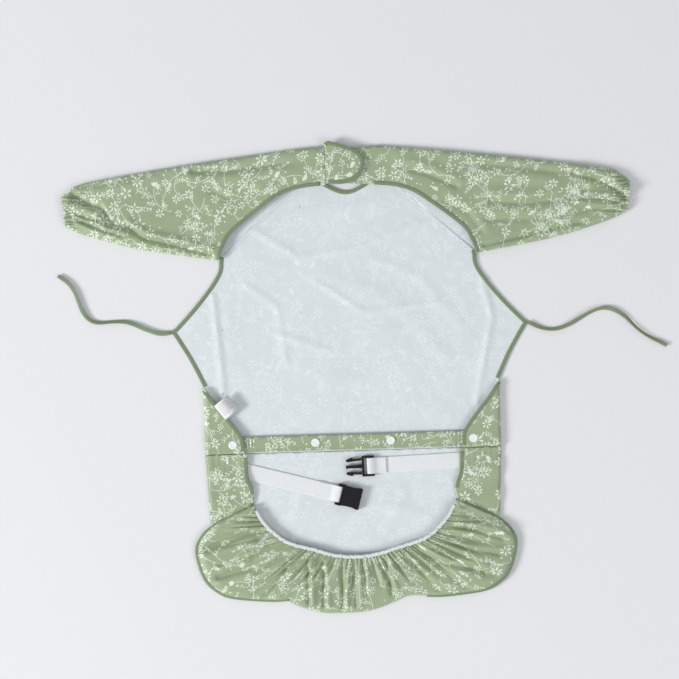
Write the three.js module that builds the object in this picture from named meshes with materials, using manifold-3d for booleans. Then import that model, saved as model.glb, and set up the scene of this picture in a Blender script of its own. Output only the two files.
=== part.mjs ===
// A toddler's long-sleeved wipe-clean smock with a catcher skirt on press studs, laid flat, lining side up.
// Millimetres, +Z up, +Y towards the neck, origin under the middle of the garment without its ties.

import * as THREE from "three";
import { mergeVertices } from "three/addons/utils/BufferGeometryUtils.js";
import Module from "manifold-3d";

const wasm = await Module();
wasm.setup();

// ---- Driving dimensions ----

const LENGTH = 588.4; // neck tab to the rim of the skirt
const HALF_SPAN = 354.5; // centre line to the end of a cuff
const SKIRT_LENGTH = 202.2; // waist hem to the lowest point of the rim
const ARMHOLE_DROP = 144.2; // top of the neck tab to the armpit
const ARMPIT_X = 161; // half the chest at the armpits
const WING_X = 222; // half the width at the tie points
const WING_DROP = 88; // armpit down to the tie points
const COLUMN_X = 184; // the folded-in sides' outer creases
const COLUMN_WIDTH = 51; // crease to the bound edge
const LOBE_X = 200; // half the width of the rim
const NECK_DEPTH = 53.5; // the collar, from its top to its bound lower edge
const TAB_REACH = 49; // root of the neck tab to its rounded end
const CUFF_HEIGHT = 38; // the gathered cuff, laid flat
const CLOTH = 1; // a hemmed layer of cloth
const GAP = 0.3; // clearance between neighbouring pieces
const SEAM_GAP = 0.4; // clearance on each side of a fold that moves
const BINDING_WIDTH = 6;
const BINDING_THICK = 0.8;
const SLEEVE_ROOM = 7.5; // height left inside a sleeve
const COLLAR_ROOM = 4.6; // height left under the overlapped collar
const POCKET_ROOM = 6.7; // height left under the rim
const RIM_DEPTH = 62; // rim seam to the elastic at the middle of the skirt
const ELASTIC_WIDTH = 7;
const CUFF_ELASTIC = 6;
const SNAP_RADIUS = 5.35;
const SNAP_INNER_X = 47; // snaps on the waistband
const SNAP_INSET = 17; // bound edge of a folded-in side to its snap
const WEBBING = 20; // width of the chair straps
const WEBBING_THICK = 1;
const BAR = 3; // buckle crossbars
const LEFT_STRAP = 112; // column edge to the socket's bar
const RIGHT_STRAP = 111; // column edge to the plug's bar
const LEFT_STRAP_ANGLE = -15.3; // how the straps lie, degrees
const RIGHT_STRAP_ANGLE = 181.8;
const TIE_WIDTH = 5;

// The ties lie where they fell: points along the middle of each one, from the wing tip outwards.
const LEFT_TIE_ROUTE = [
  [-222.9, 61.9], [-232, 60.6], [-240, 61.2], [-248, 63.6], [-256, 67], [-264, 71], [-272, 74.6],
  [-280, 76.8], [-290, 77.4], [-300, 77.2], [-310, 76.6], [-318, 77.8], [-325, 81.6], [-330.6, 88],
  [-334.8, 96], [-338, 104.6], [-341.2, 113.4], [-345.4, 121.4], [-351, 128.6], [-357, 133.6], [-362, 136.8],
];
const RIGHT_TIE_ROUTE = [
  [222.9, 61.9], [230.2, 58], [237.4, 54.9], [245, 52.8], [253, 52], [261, 53], [269, 55.6], [277, 59.2],
  [285, 63.6], [293, 68], [301, 72], [309, 75], [317, 76.4], [325, 75.6], [333, 72.6], [340.6, 68],
  [347.6, 62], [354, 54.8], [361, 48], [369, 42], [377.6, 37], [386.4, 32.4], [395, 27.8],
];

// ---- Places worked out from them ----

const TOP = LENGTH / 2;
const LOW = -LENGTH / 2;
const ARMPIT_Y = TOP - ARMHOLE_DROP;
const WING_Y = ARMPIT_Y - WING_DROP;
const HEM_Y = LOW + SKIRT_LENGTH;
const COLUMN_EDGE = COLUMN_X - COLUMN_WIDTH;
const SNAP_OUTER_X = COLUMN_EDGE + SNAP_INSET;
const COLLAR_LOW = TOP - NECK_DEPTH;
const FOLD_X = ARMPIT_X + 19; // where each sleeve folds
const CUFF_TOP = TOP - 59.5;
const RIM_Y = LOW + 18; // lowest points of the lobes
const RIM_TOP = HEM_Y - 66; // where the rim starts under the columns
const WAIST_TOP = HEM_Y + 20.4; // upper edge of the waistband
const SNAP_Y = HEM_Y + 11.5;

const SLEEVE_TOP_Z = CLOTH + SLEEVE_ROOM;
const COLLAR_Z = CLOTH + COLLAR_ROOM; // the right collar goes under the tab
const PATCH = 0.5; // thickness of a hook or loop patch
const LOOP_Z = COLLAR_Z + CLOTH + GAP;
const HOOK_Z = LOOP_Z + PATCH + GAP;
const TAB_Z = HOOK_Z + PATCH + GAP; // level with the back of the shoulders
const RIM_Z = CLOTH + GAP + POCKET_ROOM;
const BAND_Z = CLOTH + GAP + 2.7; // waistband, above its snap studs
const SKIRT_COLUMN_Z = CLOTH + GAP + 2.4;
const COLUMN_Z = CLOTH + GAP + 4.7; // folded-in sides of the smock, above their snaps

// ---- Helpers ----

const garment = new THREE.Group();
garment.name = "smock";

/** Points along a smooth curve through the given ones. */
const smooth = (points, steps = 8) => {
  const curve = new THREE.SplineCurve(points.map(([x, y]) => new THREE.Vector2(x, y)));
  return curve.getPoints(steps * (points.length - 1)).map((p) => [p.x, p.y]);
};

const mirrored = (points, side) => points.map(([x, y]) => [side * x, y]);

/** A line moved sideways, to its left when the distance is positive. */
const offset = (points, distance) =>
  points.map(([x, y], i) => {
    const [ax, ay] = points[Math.max(i - 1, 0)];
    const [bx, by] = points[Math.min(i + 1, points.length - 1)];
    const long = Math.hypot(bx - ax, by - ay);
    return [x - ((by - ay) / long) * distance, y + ((bx - ax) / long) * distance];
  });

/** A shape drawn anticlockwise, with round holes given as x, y and radius. */
const shapeOf = (points, holes = []) => {
  const corners = points.map(([x, y]) => new THREE.Vector2(x, y));
  if (THREE.ShapeUtils.area(corners) < 0) corners.reverse();
  const shape = new THREE.Shape(corners);
  for (const [x, y, radius] of holes) {
    const hole = new THREE.Path();
    hole.absarc(x, y, radius, 0, 2 * Math.PI, true);
    shape.holes.push(hole);
  }
  return shape;
};

/** A flat plate of the given outline between two heights. */
const plate = (points, low, high, holes = []) => {
  const settings = { depth: high - low, bevelEnabled: false, curveSegments: 6 };
  return new THREE.ExtrudeGeometry(shapeOf(points, holes), settings).translate(0, 0, low);
};

/** A strip of even width with its middle on a line. */
const strip = (line, width, low, high) => {
  const left = offset(line, width / 2);
  const right = offset(line, -width / 2);
  return plate([...left, ...right.reverse()], low, high);
};

const box = (x0, x1, y0, y1, z0, z1) =>
  new THREE.BoxGeometry(x1 - x0, y1 - y0, z1 - z0).translate((x0 + x1) / 2, (y0 + y1) / 2, (z0 + z1) / 2);

const toSolid = (geometry) => {
  const bare = geometry.clone();
  bare.deleteAttribute("normal");
  bare.deleteAttribute("uv");
  const merged = mergeVertices(bare, 1e-4);
  return new wasm.Manifold(
    new wasm.Mesh({
      numProp: 3,
      vertProperties: new Float32Array(merged.attributes.position.array),
      triVerts: new Uint32Array(merged.index.array),
    }),
  );
};

const toGeometry = (solid) => {
  const mesh = solid.getMesh();
  const geometry = new THREE.BufferGeometry();
  geometry.setAttribute("position", new THREE.BufferAttribute(mesh.vertProperties, 3));
  geometry.setIndex(new THREE.BufferAttribute(mesh.triVerts, 1));
  geometry.computeVertexNormals();
  return geometry;
};

const join = (...geometries) => toGeometry(geometries.map(toSolid).reduce((a, b) => a.add(b)));
const cut = (from, ...tools) => toGeometry(tools.map(toSolid).reduce((a, b) => a.subtract(b), toSolid(from)));

const materialOf = (color, roughness) => new THREE.MeshStandardMaterial({ color, roughness, metalness: 0 });
const LINING = 0xd6dbde;
const PRINT = 0x9fb18a;
const TRIM = 0x96a983;
const WHITE = 0xeceeec;
const BLACK = 0x1c1b1d;

const add = (name, geometry, color, roughness = 0.7, parent = garment) => {
  const mesh = new THREE.Mesh(geometry, materialOf(color, roughness));
  mesh.name = name;
  parent.add(mesh);
};

const SIDES = [["left", -1], ["right", 1]];

// ---- Shared outlines, drawn for the right-hand side ----

/** Sleeve's upper edge, from beside the neck to the cuff. */
const sleeveTop = smooth([
  [56, TOP - 8.5], [0.58 * HALF_SPAN, TOP - 25.8], [HALF_SPAN - 32, TOP - 43],
  [HALF_SPAN - 12, TOP - 50], [HALF_SPAN, CUFF_TOP],
]);
/** Sleeve's lower edge, from the armpit to the cuff. */
const sleeveLow = smooth([
  [ARMPIT_X, ARMPIT_Y], [ARMPIT_X + 44, ARMPIT_Y + 7], [0.74 * HALF_SPAN, ARMPIT_Y + 17.5],
  [HALF_SPAN - 31, CUFF_TOP - CUFF_HEIGHT - 11.5], [HALF_SPAN - 4.5, CUFF_TOP - CUFF_HEIGHT],
]);
/** Bound back edge of the raglan, from the armpit to beside the neck. */
const backEdge = smooth([
  [ARMPIT_X - 1, ARMPIT_Y + 0.5], [ARMPIT_X - 7, ARMPIT_Y + 17], [ARMPIT_X - 19, ARMPIT_Y + 35],
  [ARMPIT_X - 60, ARMPIT_Y + 67], [ARMPIT_X - 81, ARMPIT_Y + 80], [ARMPIT_X - 104, COLLAR_LOW - 4],
  [ARMPIT_X - 135, COLLAR_LOW - 1],
]);
/** Front neckline, from the left raglan seam to the right one. */
const NECK_HALF = 42;
const neckline = smooth([
  [-NECK_HALF, COLLAR_LOW + 16], [-24, COLLAR_LOW + 1], [0, COLLAR_LOW - 8.5],
  [24, COLLAR_LOW + 1], [NECK_HALF, COLLAR_LOW + 16],
]);
/** Raglan seam, from the armpit up to the neckline, moved outwards by a distance. */
const raglan = (distance) => offset([[ARMPIT_X - 1, ARMPIT_Y], [NECK_HALF, COLLAR_LOW + 16]], -distance);
/** Side of the smock, from the armpit by the wing tip to the crease of the folded-in side. */
const armholeEdge = smooth([
  [ARMPIT_X - 1, ARMPIT_Y - 2], [ARMPIT_X + 1, ARMPIT_Y - 15], [ARMPIT_X + 14, ARMPIT_Y - 35.5],
  [WING_X - 24, WING_Y + 25], [WING_X, WING_Y],
], 6);
const wingEdge = smooth([
  [WING_X, WING_Y], [WING_X - 21, WING_Y - 35], [COLUMN_X + 2, WING_Y - 66], [COLUMN_X, WING_Y - 70],
], 5);
/** Bound edge of the smock's folded-in side, from the crease to the waist hem. */
const columnTop = WING_Y - 70;
/** A height on the folded-in side, as a share of the way from its top down to the hem. */
const columnDown = (share) => columnTop - share * (columnTop - HEM_Y);
const foldedEdge = smooth([
  [COLUMN_X, columnTop], [COLUMN_X - 12, columnDown(3 / 14)], [COLUMN_X - 28, columnDown(19 / 42)],
  [COLUMN_EDGE + 11, columnDown(107 / 168)], [COLUMN_EDGE + 4, columnDown(11 / 14)], [COLUMN_EDGE + 3, HEM_Y + 1],
], 5);
/** Bound edge of the skirt's folded-in side, from the hem to the rim. */
const skirtEdge = smooth([
  [COLUMN_EDGE, HEM_Y - 1], [COLUMN_EDGE - 1, HEM_Y - 29], [COLUMN_EDGE - 6, HEM_Y - 43],
  [COLUMN_EDGE - 8, RIM_TOP + 7],
], 5);
const MIDDLE_X = LOBE_X - 114; // where the lobes' seam ends and the middle bulge begins
/** Outer seam of the rim on one side, from under the column to beside the middle. */
const lobe = smooth([
  [COLUMN_EDGE - 8, RIM_TOP + 2], [COLUMN_EDGE + 22, RIM_TOP - 11], [COLUMN_X - 7, RIM_TOP - 22],
  [LOBE_X - 7, RIM_TOP - 36], [LOBE_X, RIM_TOP - 55], [LOBE_X - 9, RIM_TOP - 88],
  [LOBE_X - 24, RIM_Y + 14], [LOBE_X - 44, RIM_Y + 5], [LOBE_X - 90, RIM_Y], [MIDDLE_X, RIM_Y + 0.5],
], 5);
/** The strip rolls out over the seam in the middle: a bulge a little left of the centre line. */
const BULGE_X = -15;
const bulge = smooth([
  [MIDDLE_X, RIM_Y + 0.5], [62, RIM_Y + 0.8], [BULGE_X + 49, LOW + 7.4], [BULGE_X + 26, LOW + 1.2],
  [BULGE_X, LOW], [BULGE_X - 30, LOW + 1.2], [BULGE_X - 64, LOW + 12], [-MIDDLE_X, RIM_Y + 0.5],
], 5);
/** Elastic edge of the rim, from left to right. */
const elasticLow = LOW + 10 + RIM_DEPTH;
const elasticHalf = [
  [COLUMN_EDGE - 8, RIM_TOP - 2], [COLUMN_EDGE - 18, RIM_TOP - 18], [COLUMN_EDGE - 32, RIM_TOP - 32],
  [COLUMN_EDGE - 51, elasticLow + 19.5], [COLUMN_EDGE - 81, elasticLow + 10.5], [COLUMN_EDGE - 105, elasticLow + 3],
];
const elastic = smooth([...mirrored(elasticHalf, -1), [0, elasticLow], ...elasticHalf.slice().reverse()], 5);
const rimOuter = [...lobe, ...bulge.slice(1, -1), ...mirrored(lobe, -1).reverse()];

/** The part of a line, with x rising, that lies beyond or before a certain x, ending exactly on it. */
const clipAt = (line, x, beyond) => {
  const out = [];
  line.forEach((point, i) => {
    const next = line[i + 1];
    if (beyond ? point[0] >= x : point[0] <= x) out.push(point);
    if (next && (point[0] - x) * (next[0] - x) < 0) {
      const t = (x - point[0]) / (next[0] - point[0]);
      out.push([x, point[1] + t * (next[1] - point[1])]);
    }
  });
  return out;
};

// ---- Smock ----

const snapsAt = (x) => [-x, x].map((at) => [at, SNAP_Y, SNAP_RADIUS + GAP]);

/** Front of the smock with its two sides creased and folded in over it. */
const frontPanel = () => {
  const [seamFoot, seamTop] = raglan(-GAP / 2);
  const right = [
    seamTop, seamFoot, ...armholeEdge, ...wingEdge.slice(1), [COLUMN_X, HEM_Y + SEAM_GAP],
  ];
  const outline = [
    ...neckline.slice(1, -1), ...right, ...mirrored(right, -1).reverse(),
  ];
  const pieces = [plate(outline, 0, CLOTH, snapsAt(SNAP_INNER_X))];
  for (const [, side] of SIDES) {
    const flap = [...foldedEdge.slice(0, -1), [COLUMN_EDGE + 3, HEM_Y + SEAM_GAP], [COLUMN_X, HEM_Y + SEAM_GAP]];
    const crease = [
      [COLUMN_X, columnTop - 2], [COLUMN_X - CLOTH, columnTop - 3],
      [COLUMN_X - CLOTH, HEM_Y + SEAM_GAP], [COLUMN_X, HEM_Y + SEAM_GAP],
    ];
    pieces.push(plate(mirrored(flap, side), COLUMN_Z, COLUMN_Z + CLOTH));
    pieces.push(plate(mirrored(crease, side), 0.5 * CLOTH, COLUMN_Z + 0.5 * CLOTH));
  }
  return join(...pieces);
};
add("front_panel", frontPanel(), LINING, 0.55);

const COLLAR_STEP_X = 60; // where the right collar steps down to go under the neck tab
/** Shoulder end of a raglan sleeve: front layer, back layer, and the folded top edge between them. */
const shoulder = (side) => {
  const topLine = clipAt(sleeveTop, FOLD_X - SEAM_GAP / 2, false);
  const lowLine = clipAt(sleeveLow, FOLD_X - SEAM_GAP / 2, false);
  const collarLow = [NECK_HALF - 16, COLLAR_LOW - 1];
  const neckTopCorner = [NECK_HALF - 16, TOP - 5.5];
  const frontLayer = [
    ...topLine, ...lowLine.slice().reverse(), ...raglan(GAP / 2), [NECK_HALF - 9, TOP - 9],
  ];
  const foldedTop = [...topLine, ...offset(topLine, -2 * CLOTH).reverse()];
  const step = [[COLLAR_STEP_X, COLLAR_LOW - 3.4], [COLLAR_STEP_X, TOP - 9]];
  const collarStart = side > 0 ? step : [collarLow, neckTopCorner];
  const back = side > 0 ? clipAt(backEdge.slice().reverse(), COLLAR_STEP_X, true).reverse() : backEdge;
  const backLayer = [...topLine, ...lowLine.slice(1).reverse(), ...back, ...collarStart];
  const z = SLEEVE_TOP_Z;
  const pieces = [
    plate(mirrored(frontLayer, side), 0, CLOTH),
    plate(mirrored(foldedTop, side), 0.5 * CLOTH, z + 0.5 * CLOTH),
    plate(mirrored(backLayer, side), z, z + CLOTH),
  ];
  if (side > 0) {
    const endArc = smooth([
      [0, COLLAR_LOW + 0.4], [-12, COLLAR_LOW + 5], [-19.5, COLLAR_LOW + 14], [-21, COLLAR_LOW + 24],
      [-17, COLLAR_LOW + 36], [-8, COLLAR_LOW + 43], [4, TOP - 8.8],
    ], 4);
    const wallX = COLLAR_STEP_X + 2 * CLOTH;
    const under = [[wallX, COLLAR_LOW - 3.6], ...endArc, [30, TOP - 8.5], [wallX, TOP - 9.4]];
    pieces.push(plate(under, COLLAR_Z, COLLAR_Z + CLOTH));
    pieces.push(box(COLLAR_STEP_X, wallX, COLLAR_LOW - 3.2, TOP - 9.6, COLLAR_Z + 0.2, z + 0.8 * CLOTH));
  }
  return join(...pieces);
};

/** Outer sleeve: a flattened tube, open at both ends. */
const sleeveTube = (side) => {
  const cuffX = HALF_SPAN - 14;
  const span = (line) => clipAt(clipAt(line, FOLD_X + SEAM_GAP / 2, true), cuffX, false);
  const topLine = span(sleeveTop);
  const lowLine = span(sleeveLow);
  const outline = [...topLine, ...lowLine.slice().reverse()];
  const inTop = offset(topLine, -2 * CLOTH);
  const inLow = offset(lowLine, 2 * CLOTH);
  const reach = 5;
  const inside = [
    [inTop[0][0] - reach, inTop[0][1]], ...inTop, [cuffX + reach, inTop.at(-1)[1]],
    [cuffX + reach, inLow.at(-1)[1]], ...inLow.reverse(), [inLow.at(-1)[0] - reach, inLow.at(-1)[1]],
  ];
  const body = plate(mirrored(outline, side), 0, SLEEVE_TOP_Z + CLOTH);
  return cut(body, plate(mirrored(inside, side), CLOTH, SLEEVE_TOP_Z));
};

/** A flattened ring whose outside is drawn by its low and high corners. */
const ring = (side, x0, x1, y0, y1, z0, z1, wall) => {
  const outside = box(Math.min(side * x0, side * x1), Math.max(side * x0, side * x1), y0, y1, z0, z1);
  const reach = 5;
  const ends = [side * (x0 - reach), side * (x1 + reach)];
  const inside = box(Math.min(...ends), Math.max(...ends), y0 + wall, y1 - wall, z0 + wall, z1 - wall);
  return cut(outside, inside);
};

for (const [name, side] of SIDES) {
  const cuffLow = CUFF_TOP - CUFF_HEIGHT;
  const top = SLEEVE_TOP_Z + CLOTH;
  add(`shoulder_${name}`, shoulder(side), PRINT);
  add(`sleeve_${name}`, sleeveTube(side), PRINT);
  const cuff = ring(side, HALF_SPAN - 14 + GAP, HALF_SPAN, cuffLow - 1, CUFF_TOP + 3, 0, top, CLOTH);
  add(`cuff_${name}`, cuff, PRINT);
  const inset = CLOTH + GAP;
  const band = ring(
    side, HALF_SPAN - 4 - CUFF_ELASTIC, HALF_SPAN - 4, cuffLow - 1 + inset, CUFF_TOP + 3 - inset,
    inset, top - inset, BINDING_THICK,
  );
  add(`cuff_elastic_${name}`, band, WHITE);
  const bound = clipAt(backEdge.slice().reverse(), ARMPIT_X - 2, false).reverse();
  const kept = side > 0 ? bound.filter(([x]) => x > COLLAR_STEP_X + CLOTH) : bound;
  const z = SLEEVE_TOP_Z + CLOTH + GAP;
  const line = offset(kept, -BINDING_WIDTH / 2);
  add(`back_binding_${name}`, strip(mirrored(line, side), BINDING_WIDTH, z, z + BINDING_THICK), TRIM);
  const low = CLOTH + GAP;
  const [overTip, underTip] = [armholeEdge.slice(2), wingEdge.slice(0, -3)].map((edge) => {
    const sideLine = offset(edge, -BINDING_WIDTH / 2);
    return strip(mirrored(sideLine, side), BINDING_WIDTH, low, low + BINDING_THICK);
  });
  add(`side_binding_${name}`, join(overTip, underTip), TRIM);
  const flapZ = COLUMN_Z + CLOTH + GAP;
  const flapLine = offset(foldedEdge.slice(4, -1), BINDING_WIDTH / 2);
  const flap = strip(mirrored(flapLine, side), BINDING_WIDTH, flapZ, flapZ + BINDING_THICK);
  add(`column_binding_${name}`, flap, TRIM);
}

const frontNeck = offset(neckline.slice(3, -3), -BINDING_WIDTH / 2);
add("neck_binding", strip(frontNeck, BINDING_WIDTH, CLOTH + GAP, CLOTH + GAP + BINDING_THICK), TRIM);

// ---- Neck tab with its hook and loop patches ----

const TAB_ROOT = -(NECK_HALF - 16) + SEAM_GAP;
const tabEnd = TAB_ROOT + TAB_REACH;
const tabEdge = smooth([
  [TAB_ROOT, TOP - 3], [TAB_ROOT + 5, TOP], [TAB_ROOT + 13, TOP - 2.2], [tabEnd - 16, TOP - 9],
  [tabEnd - 6, TOP - 15], [tabEnd - 0.5, TOP - 23], [tabEnd, TOP - 31], [tabEnd - 5, COLLAR_LOW + 11],
  [tabEnd - 14, COLLAR_LOW + 4], [tabEnd - 27, COLLAR_LOW], [TAB_ROOT, COLLAR_LOW + 1],
], 4);
const patch = (z) => box(-15, 11, COLLAR_LOW + 16, TOP - 17, z, z + PATCH);
add("neck_tab", plate(tabEdge, TAB_Z, TAB_Z + CLOTH), PRINT);
const tabTrim = offset(tabEdge, -BINDING_WIDTH / 2);
const trimZ = TAB_Z + CLOTH + GAP;
add("tab_binding", strip(tabTrim, BINDING_WIDTH, trimZ, trimZ + BINDING_THICK), TRIM);
add("hook_patch", patch(HOOK_Z), WHITE);
add("loop_patch", patch(LOOP_Z), WHITE);

// ---- Care label, sewn along the left folded edge ----

const LABEL_WIDTH = 22;
const LABEL_DROP = 22.5;
const LABEL_THICK = 0.4;
const LABEL_LAP = 3.5; // how far it lies over the binding
const LABEL_ANGLE = 38; // degrees, along the edge
const labelZ = COLUMN_Z + CLOTH + BINDING_THICK + 2 * GAP;
const labelLine = offset(foldedEdge, LABEL_LAP - LABEL_DROP / 2);
const [labelX, labelY] = labelLine[Math.round(0.3 * labelLine.length)];
const label = new THREE.BoxGeometry(LABEL_WIDTH, LABEL_DROP, LABEL_THICK);
label.rotateZ(THREE.MathUtils.degToRad(LABEL_ANGLE));
add("care_label", label.translate(-labelX, labelY, labelZ + LABEL_THICK / 2), WHITE);

// ---- Ties ----

/** A free tie: a tube along its route, resting on the ground. */
const tie = (route) => {
  const points = route.map(([x, y]) => new THREE.Vector3(x, y, TIE_WIDTH / 2 + 0.1));
  const section = new THREE.Shape();
  section.absarc(0, 0, TIE_WIDTH / 2, 0, 2 * Math.PI);
  const extrudePath = new THREE.CatmullRomCurve3(points);
  return new THREE.ExtrudeGeometry(section, { steps: route.length - 1, curveSegments: 4, extrudePath });
};
add("tie_left", tie(LEFT_TIE_ROUTE), TRIM);
add("tie_right", tie(RIGHT_TIE_ROUTE), TRIM);

// ---- Waistband of the skirt, snapped to the smock ----

const bandEnd = COLUMN_EDGE - 7;
const waistband = plate(
  [[-bandEnd, HEM_Y + 1.5], [bandEnd, HEM_Y + 1.5], [bandEnd, WAIST_TOP], [-bandEnd, WAIST_TOP]],
  BAND_Z, BAND_Z + CLOTH,
);
add("skirt_waistband", waistband, PRINT);

const turned = (points, segments = 16) =>
  new THREE.LatheGeometry(points.map(([r, z]) => new THREE.Vector2(r, z)), segments).rotateX(Math.PI / 2);

/** The four mouldings of one snap, stacked from the given heights. */
const addSnap = (name, x, y, heights) => {
  const r = SNAP_RADIUS;
  const { back, stud, socket, cap } = heights;
  const thick = 0.8;
  const boss = 2.2;
  const pieces = {
    back: turned([[0, 0], [r, 0], [r, thick], [0, thick]]),
    stud: turned([[0, 0], [4.5, 0], [4.5, 0.6], [boss, 0.6], [boss, 1.7], [0, 1.7]]),
    socket: turned([[boss + 2 * GAP, 0], [4.8, 0], [4.8, 1], [boss + 2 * GAP, 1], [boss + 2 * GAP, 0]]),
    cap: turned([[0, 0], [r, 0], [r, 0.5], [0.8 * r, 1.1], [0.4 * r, 1.3], [0, 1.3]]),
  };
  const at = { back, stud, socket, cap };
  for (const [piece, geometry] of Object.entries(pieces)) {
    add(`snap_${piece}_${name}`, geometry.translate(x, y, at[piece]), WHITE, 0.3);
  }
};

for (const [name, side] of SIDES) {
  const onBand = { back: 0.1, stud: CLOTH + GAP, socket: BAND_Z - GAP - 1, cap: BAND_Z + CLOTH + GAP };
  addSnap(`band_${name}`, side * SNAP_INNER_X, SNAP_Y, onBand);
  const low = CLOTH + GAP;
  const tongueZ = low + 0.8 + GAP;
  const x = [side * (SNAP_OUTER_X - 13), side * (SNAP_OUTER_X + 13)].sort((a, b) => a - b);
  const tongue = box(x[0], x[1], HEM_Y + 2, WAIST_TOP, tongueZ, tongueZ + 0.7);
  add(`waistband_end_${name}`, tongue, PRINT);
  const studZ = tongueZ + 0.7 + GAP;
  const onColumn = { back: low, stud: studZ, socket: COLUMN_Z - GAP - 1, cap: COLUMN_Z + CLOTH + GAP };
  addSnap(`side_${name}`, side * SNAP_OUTER_X, SNAP_Y, onColumn);
}

// ---- Skirt ----

/** Skirt panel with its two sides creased and folded in over it. */
const skirtPanel = () => {
  const start = [COLUMN_X, HEM_Y - SEAM_GAP];
  const outer = lobe.filter((point) => point[1] < RIM_TOP - 24);
  const right = [start, [COLUMN_X - 4, RIM_TOP - 22], ...outer];
  const outline = [...right, ...bulge.slice(1, -1), ...mirrored(right, -1).reverse()];
  const pieces = [plate(outline, 0, CLOTH)];
  for (const [, side] of SIDES) {
    const foot = [[COLUMN_EDGE + 1, RIM_TOP + 6], [COLUMN_X - 3, RIM_TOP - 13]];
    const flap = [[COLUMN_X, HEM_Y - SEAM_GAP], [COLUMN_EDGE, HEM_Y - SEAM_GAP], ...skirtEdge.slice(1, -2), ...foot];
    const crease = [
      [COLUMN_X, HEM_Y - SEAM_GAP], [COLUMN_X - CLOTH, HEM_Y - SEAM_GAP],
      [COLUMN_X - CLOTH - 3, RIM_TOP - 12], [COLUMN_X - 3, RIM_TOP - 13],
    ];
    pieces.push(plate(mirrored(flap, side), SKIRT_COLUMN_Z, SKIRT_COLUMN_Z + CLOTH));
    pieces.push(plate(mirrored(crease, side), 0.5 * CLOTH, SKIRT_COLUMN_Z + 0.5 * CLOTH));
  }
  return join(...pieces);
};
add("skirt_panel", skirtPanel(), LINING, 0.55);

/** Rim of the skirt: a gathered strip standing over the panel, closed at its outer seam. */
const rim = () => {
  const top = plate([...rimOuter, ...elastic], RIM_Z, RIM_Z + CLOTH);
  const wall = [...rimOuter, ...offset(rimOuter, -2 * CLOTH).reverse()];
  return join(top, plate(wall, CLOTH + GAP, RIM_Z + 0.5 * CLOTH));
};
add("rim_ruffle", rim(), PRINT);
const rimTopZ = RIM_Z + CLOTH + GAP;
const rimTrim = offset(lobe, -BINDING_WIDTH / 2 - 0.5);
for (const [name, side] of SIDES) {
  const trim = strip(mirrored(rimTrim.slice(1), side), BINDING_WIDTH, rimTopZ, rimTopZ + BINDING_THICK);
  add(`rim_binding_${name}`, trim, TRIM);
  const edgeZ = SKIRT_COLUMN_Z + CLOTH + GAP;
  const edgeLine = offset(skirtEdge.slice(1, -4), BINDING_WIDTH / 2);
  const edge = strip(mirrored(edgeLine, side), BINDING_WIDTH, edgeZ, edgeZ + BINDING_THICK);
  add(`skirt_binding_${name}`, edge, TRIM);
}
const elasticLine = offset(elastic.slice(1, -1), -ELASTIC_WIDTH / 2);
add("rim_elastic", strip(elasticLine, ELASTIC_WIDTH, rimTopZ, rimTopZ + BINDING_THICK), WHITE);

// ---- Chair straps: webbing looped round a bar of each buckle half ----

const WEB_Z = CLOTH + GAP;
const barZ = WEB_Z + WEBBING_THICK + GAP;

/** A strap's frame: x along the webbing from its root, y across it. */
const strapFrame = (x, y, angle) => {
  const frame = new THREE.Group();
  frame.position.set(x, y, 0);
  frame.rotation.z = THREE.MathUtils.degToRad(angle);
  garment.add(frame);
  return frame;
};

/** Turns a side view, drawn as x along and y up, into a solid across the webbing. */
const across = (points, width) => {
  const settings = { depth: width, bevelEnabled: false };
  return new THREE.ExtrudeGeometry(shapeOf(points), settings).rotateX(Math.PI / 2).translate(0, width / 2, 0);
};

/** Webbing that runs out flat, goes round a bar and is sewn back onto itself. */
const webbing = (reach, tail) => {
  const t = WEBBING_THICK;
  const inner = BAR / 2 + GAP;
  const middle = barZ + BAR / 2;
  const arc = (radius, from, to) =>
    Array.from({ length: 9 }, (_, i) => {
      const a = from + ((to - from) * i) / 8;
      return [reach + radius * Math.cos(a), middle + radius * Math.sin(a)];
    });
  const quarter = Math.PI / 2;
  const topZ = middle + inner;
  const lowTail = WEB_Z + t + GAP;
  const flat = reach - BAR / 2 - 2;
  return across([
    [0, WEB_Z], ...arc(inner + t, -quarter, quarter), [flat, topZ + t], [reach - 10, lowTail + t],
    [reach - tail, lowTail + t], [reach - tail, lowTail], [reach - 10, lowTail],
    [flat, topZ], ...arc(inner, quarter, -quarter), [flat, WEB_Z + t], [0, WEB_Z + t],
  ], WEBBING);
};

const HALF_WEB = WEBBING / 2;
/** The round bar that webbing goes round. */
const crossbar = (reach, half) =>
  new THREE.CylinderGeometry(BAR / 2, BAR / 2, 2 * half, 12).translate(reach, 0, barZ + BAR / 2);
const RAIL = 2.6; // thickness of a buckle's side walls
const SHELL = 1.3; // thickness of its top and bottom
const SOCKET_ROOM = 4.6; // height inside the socket
const SOCKET_LENGTH = 24; // the socket's hollow part
const socketHigh = WEB_Z + SOCKET_ROOM + 2 * SHELL;
const socketFront = 5.2;

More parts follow.
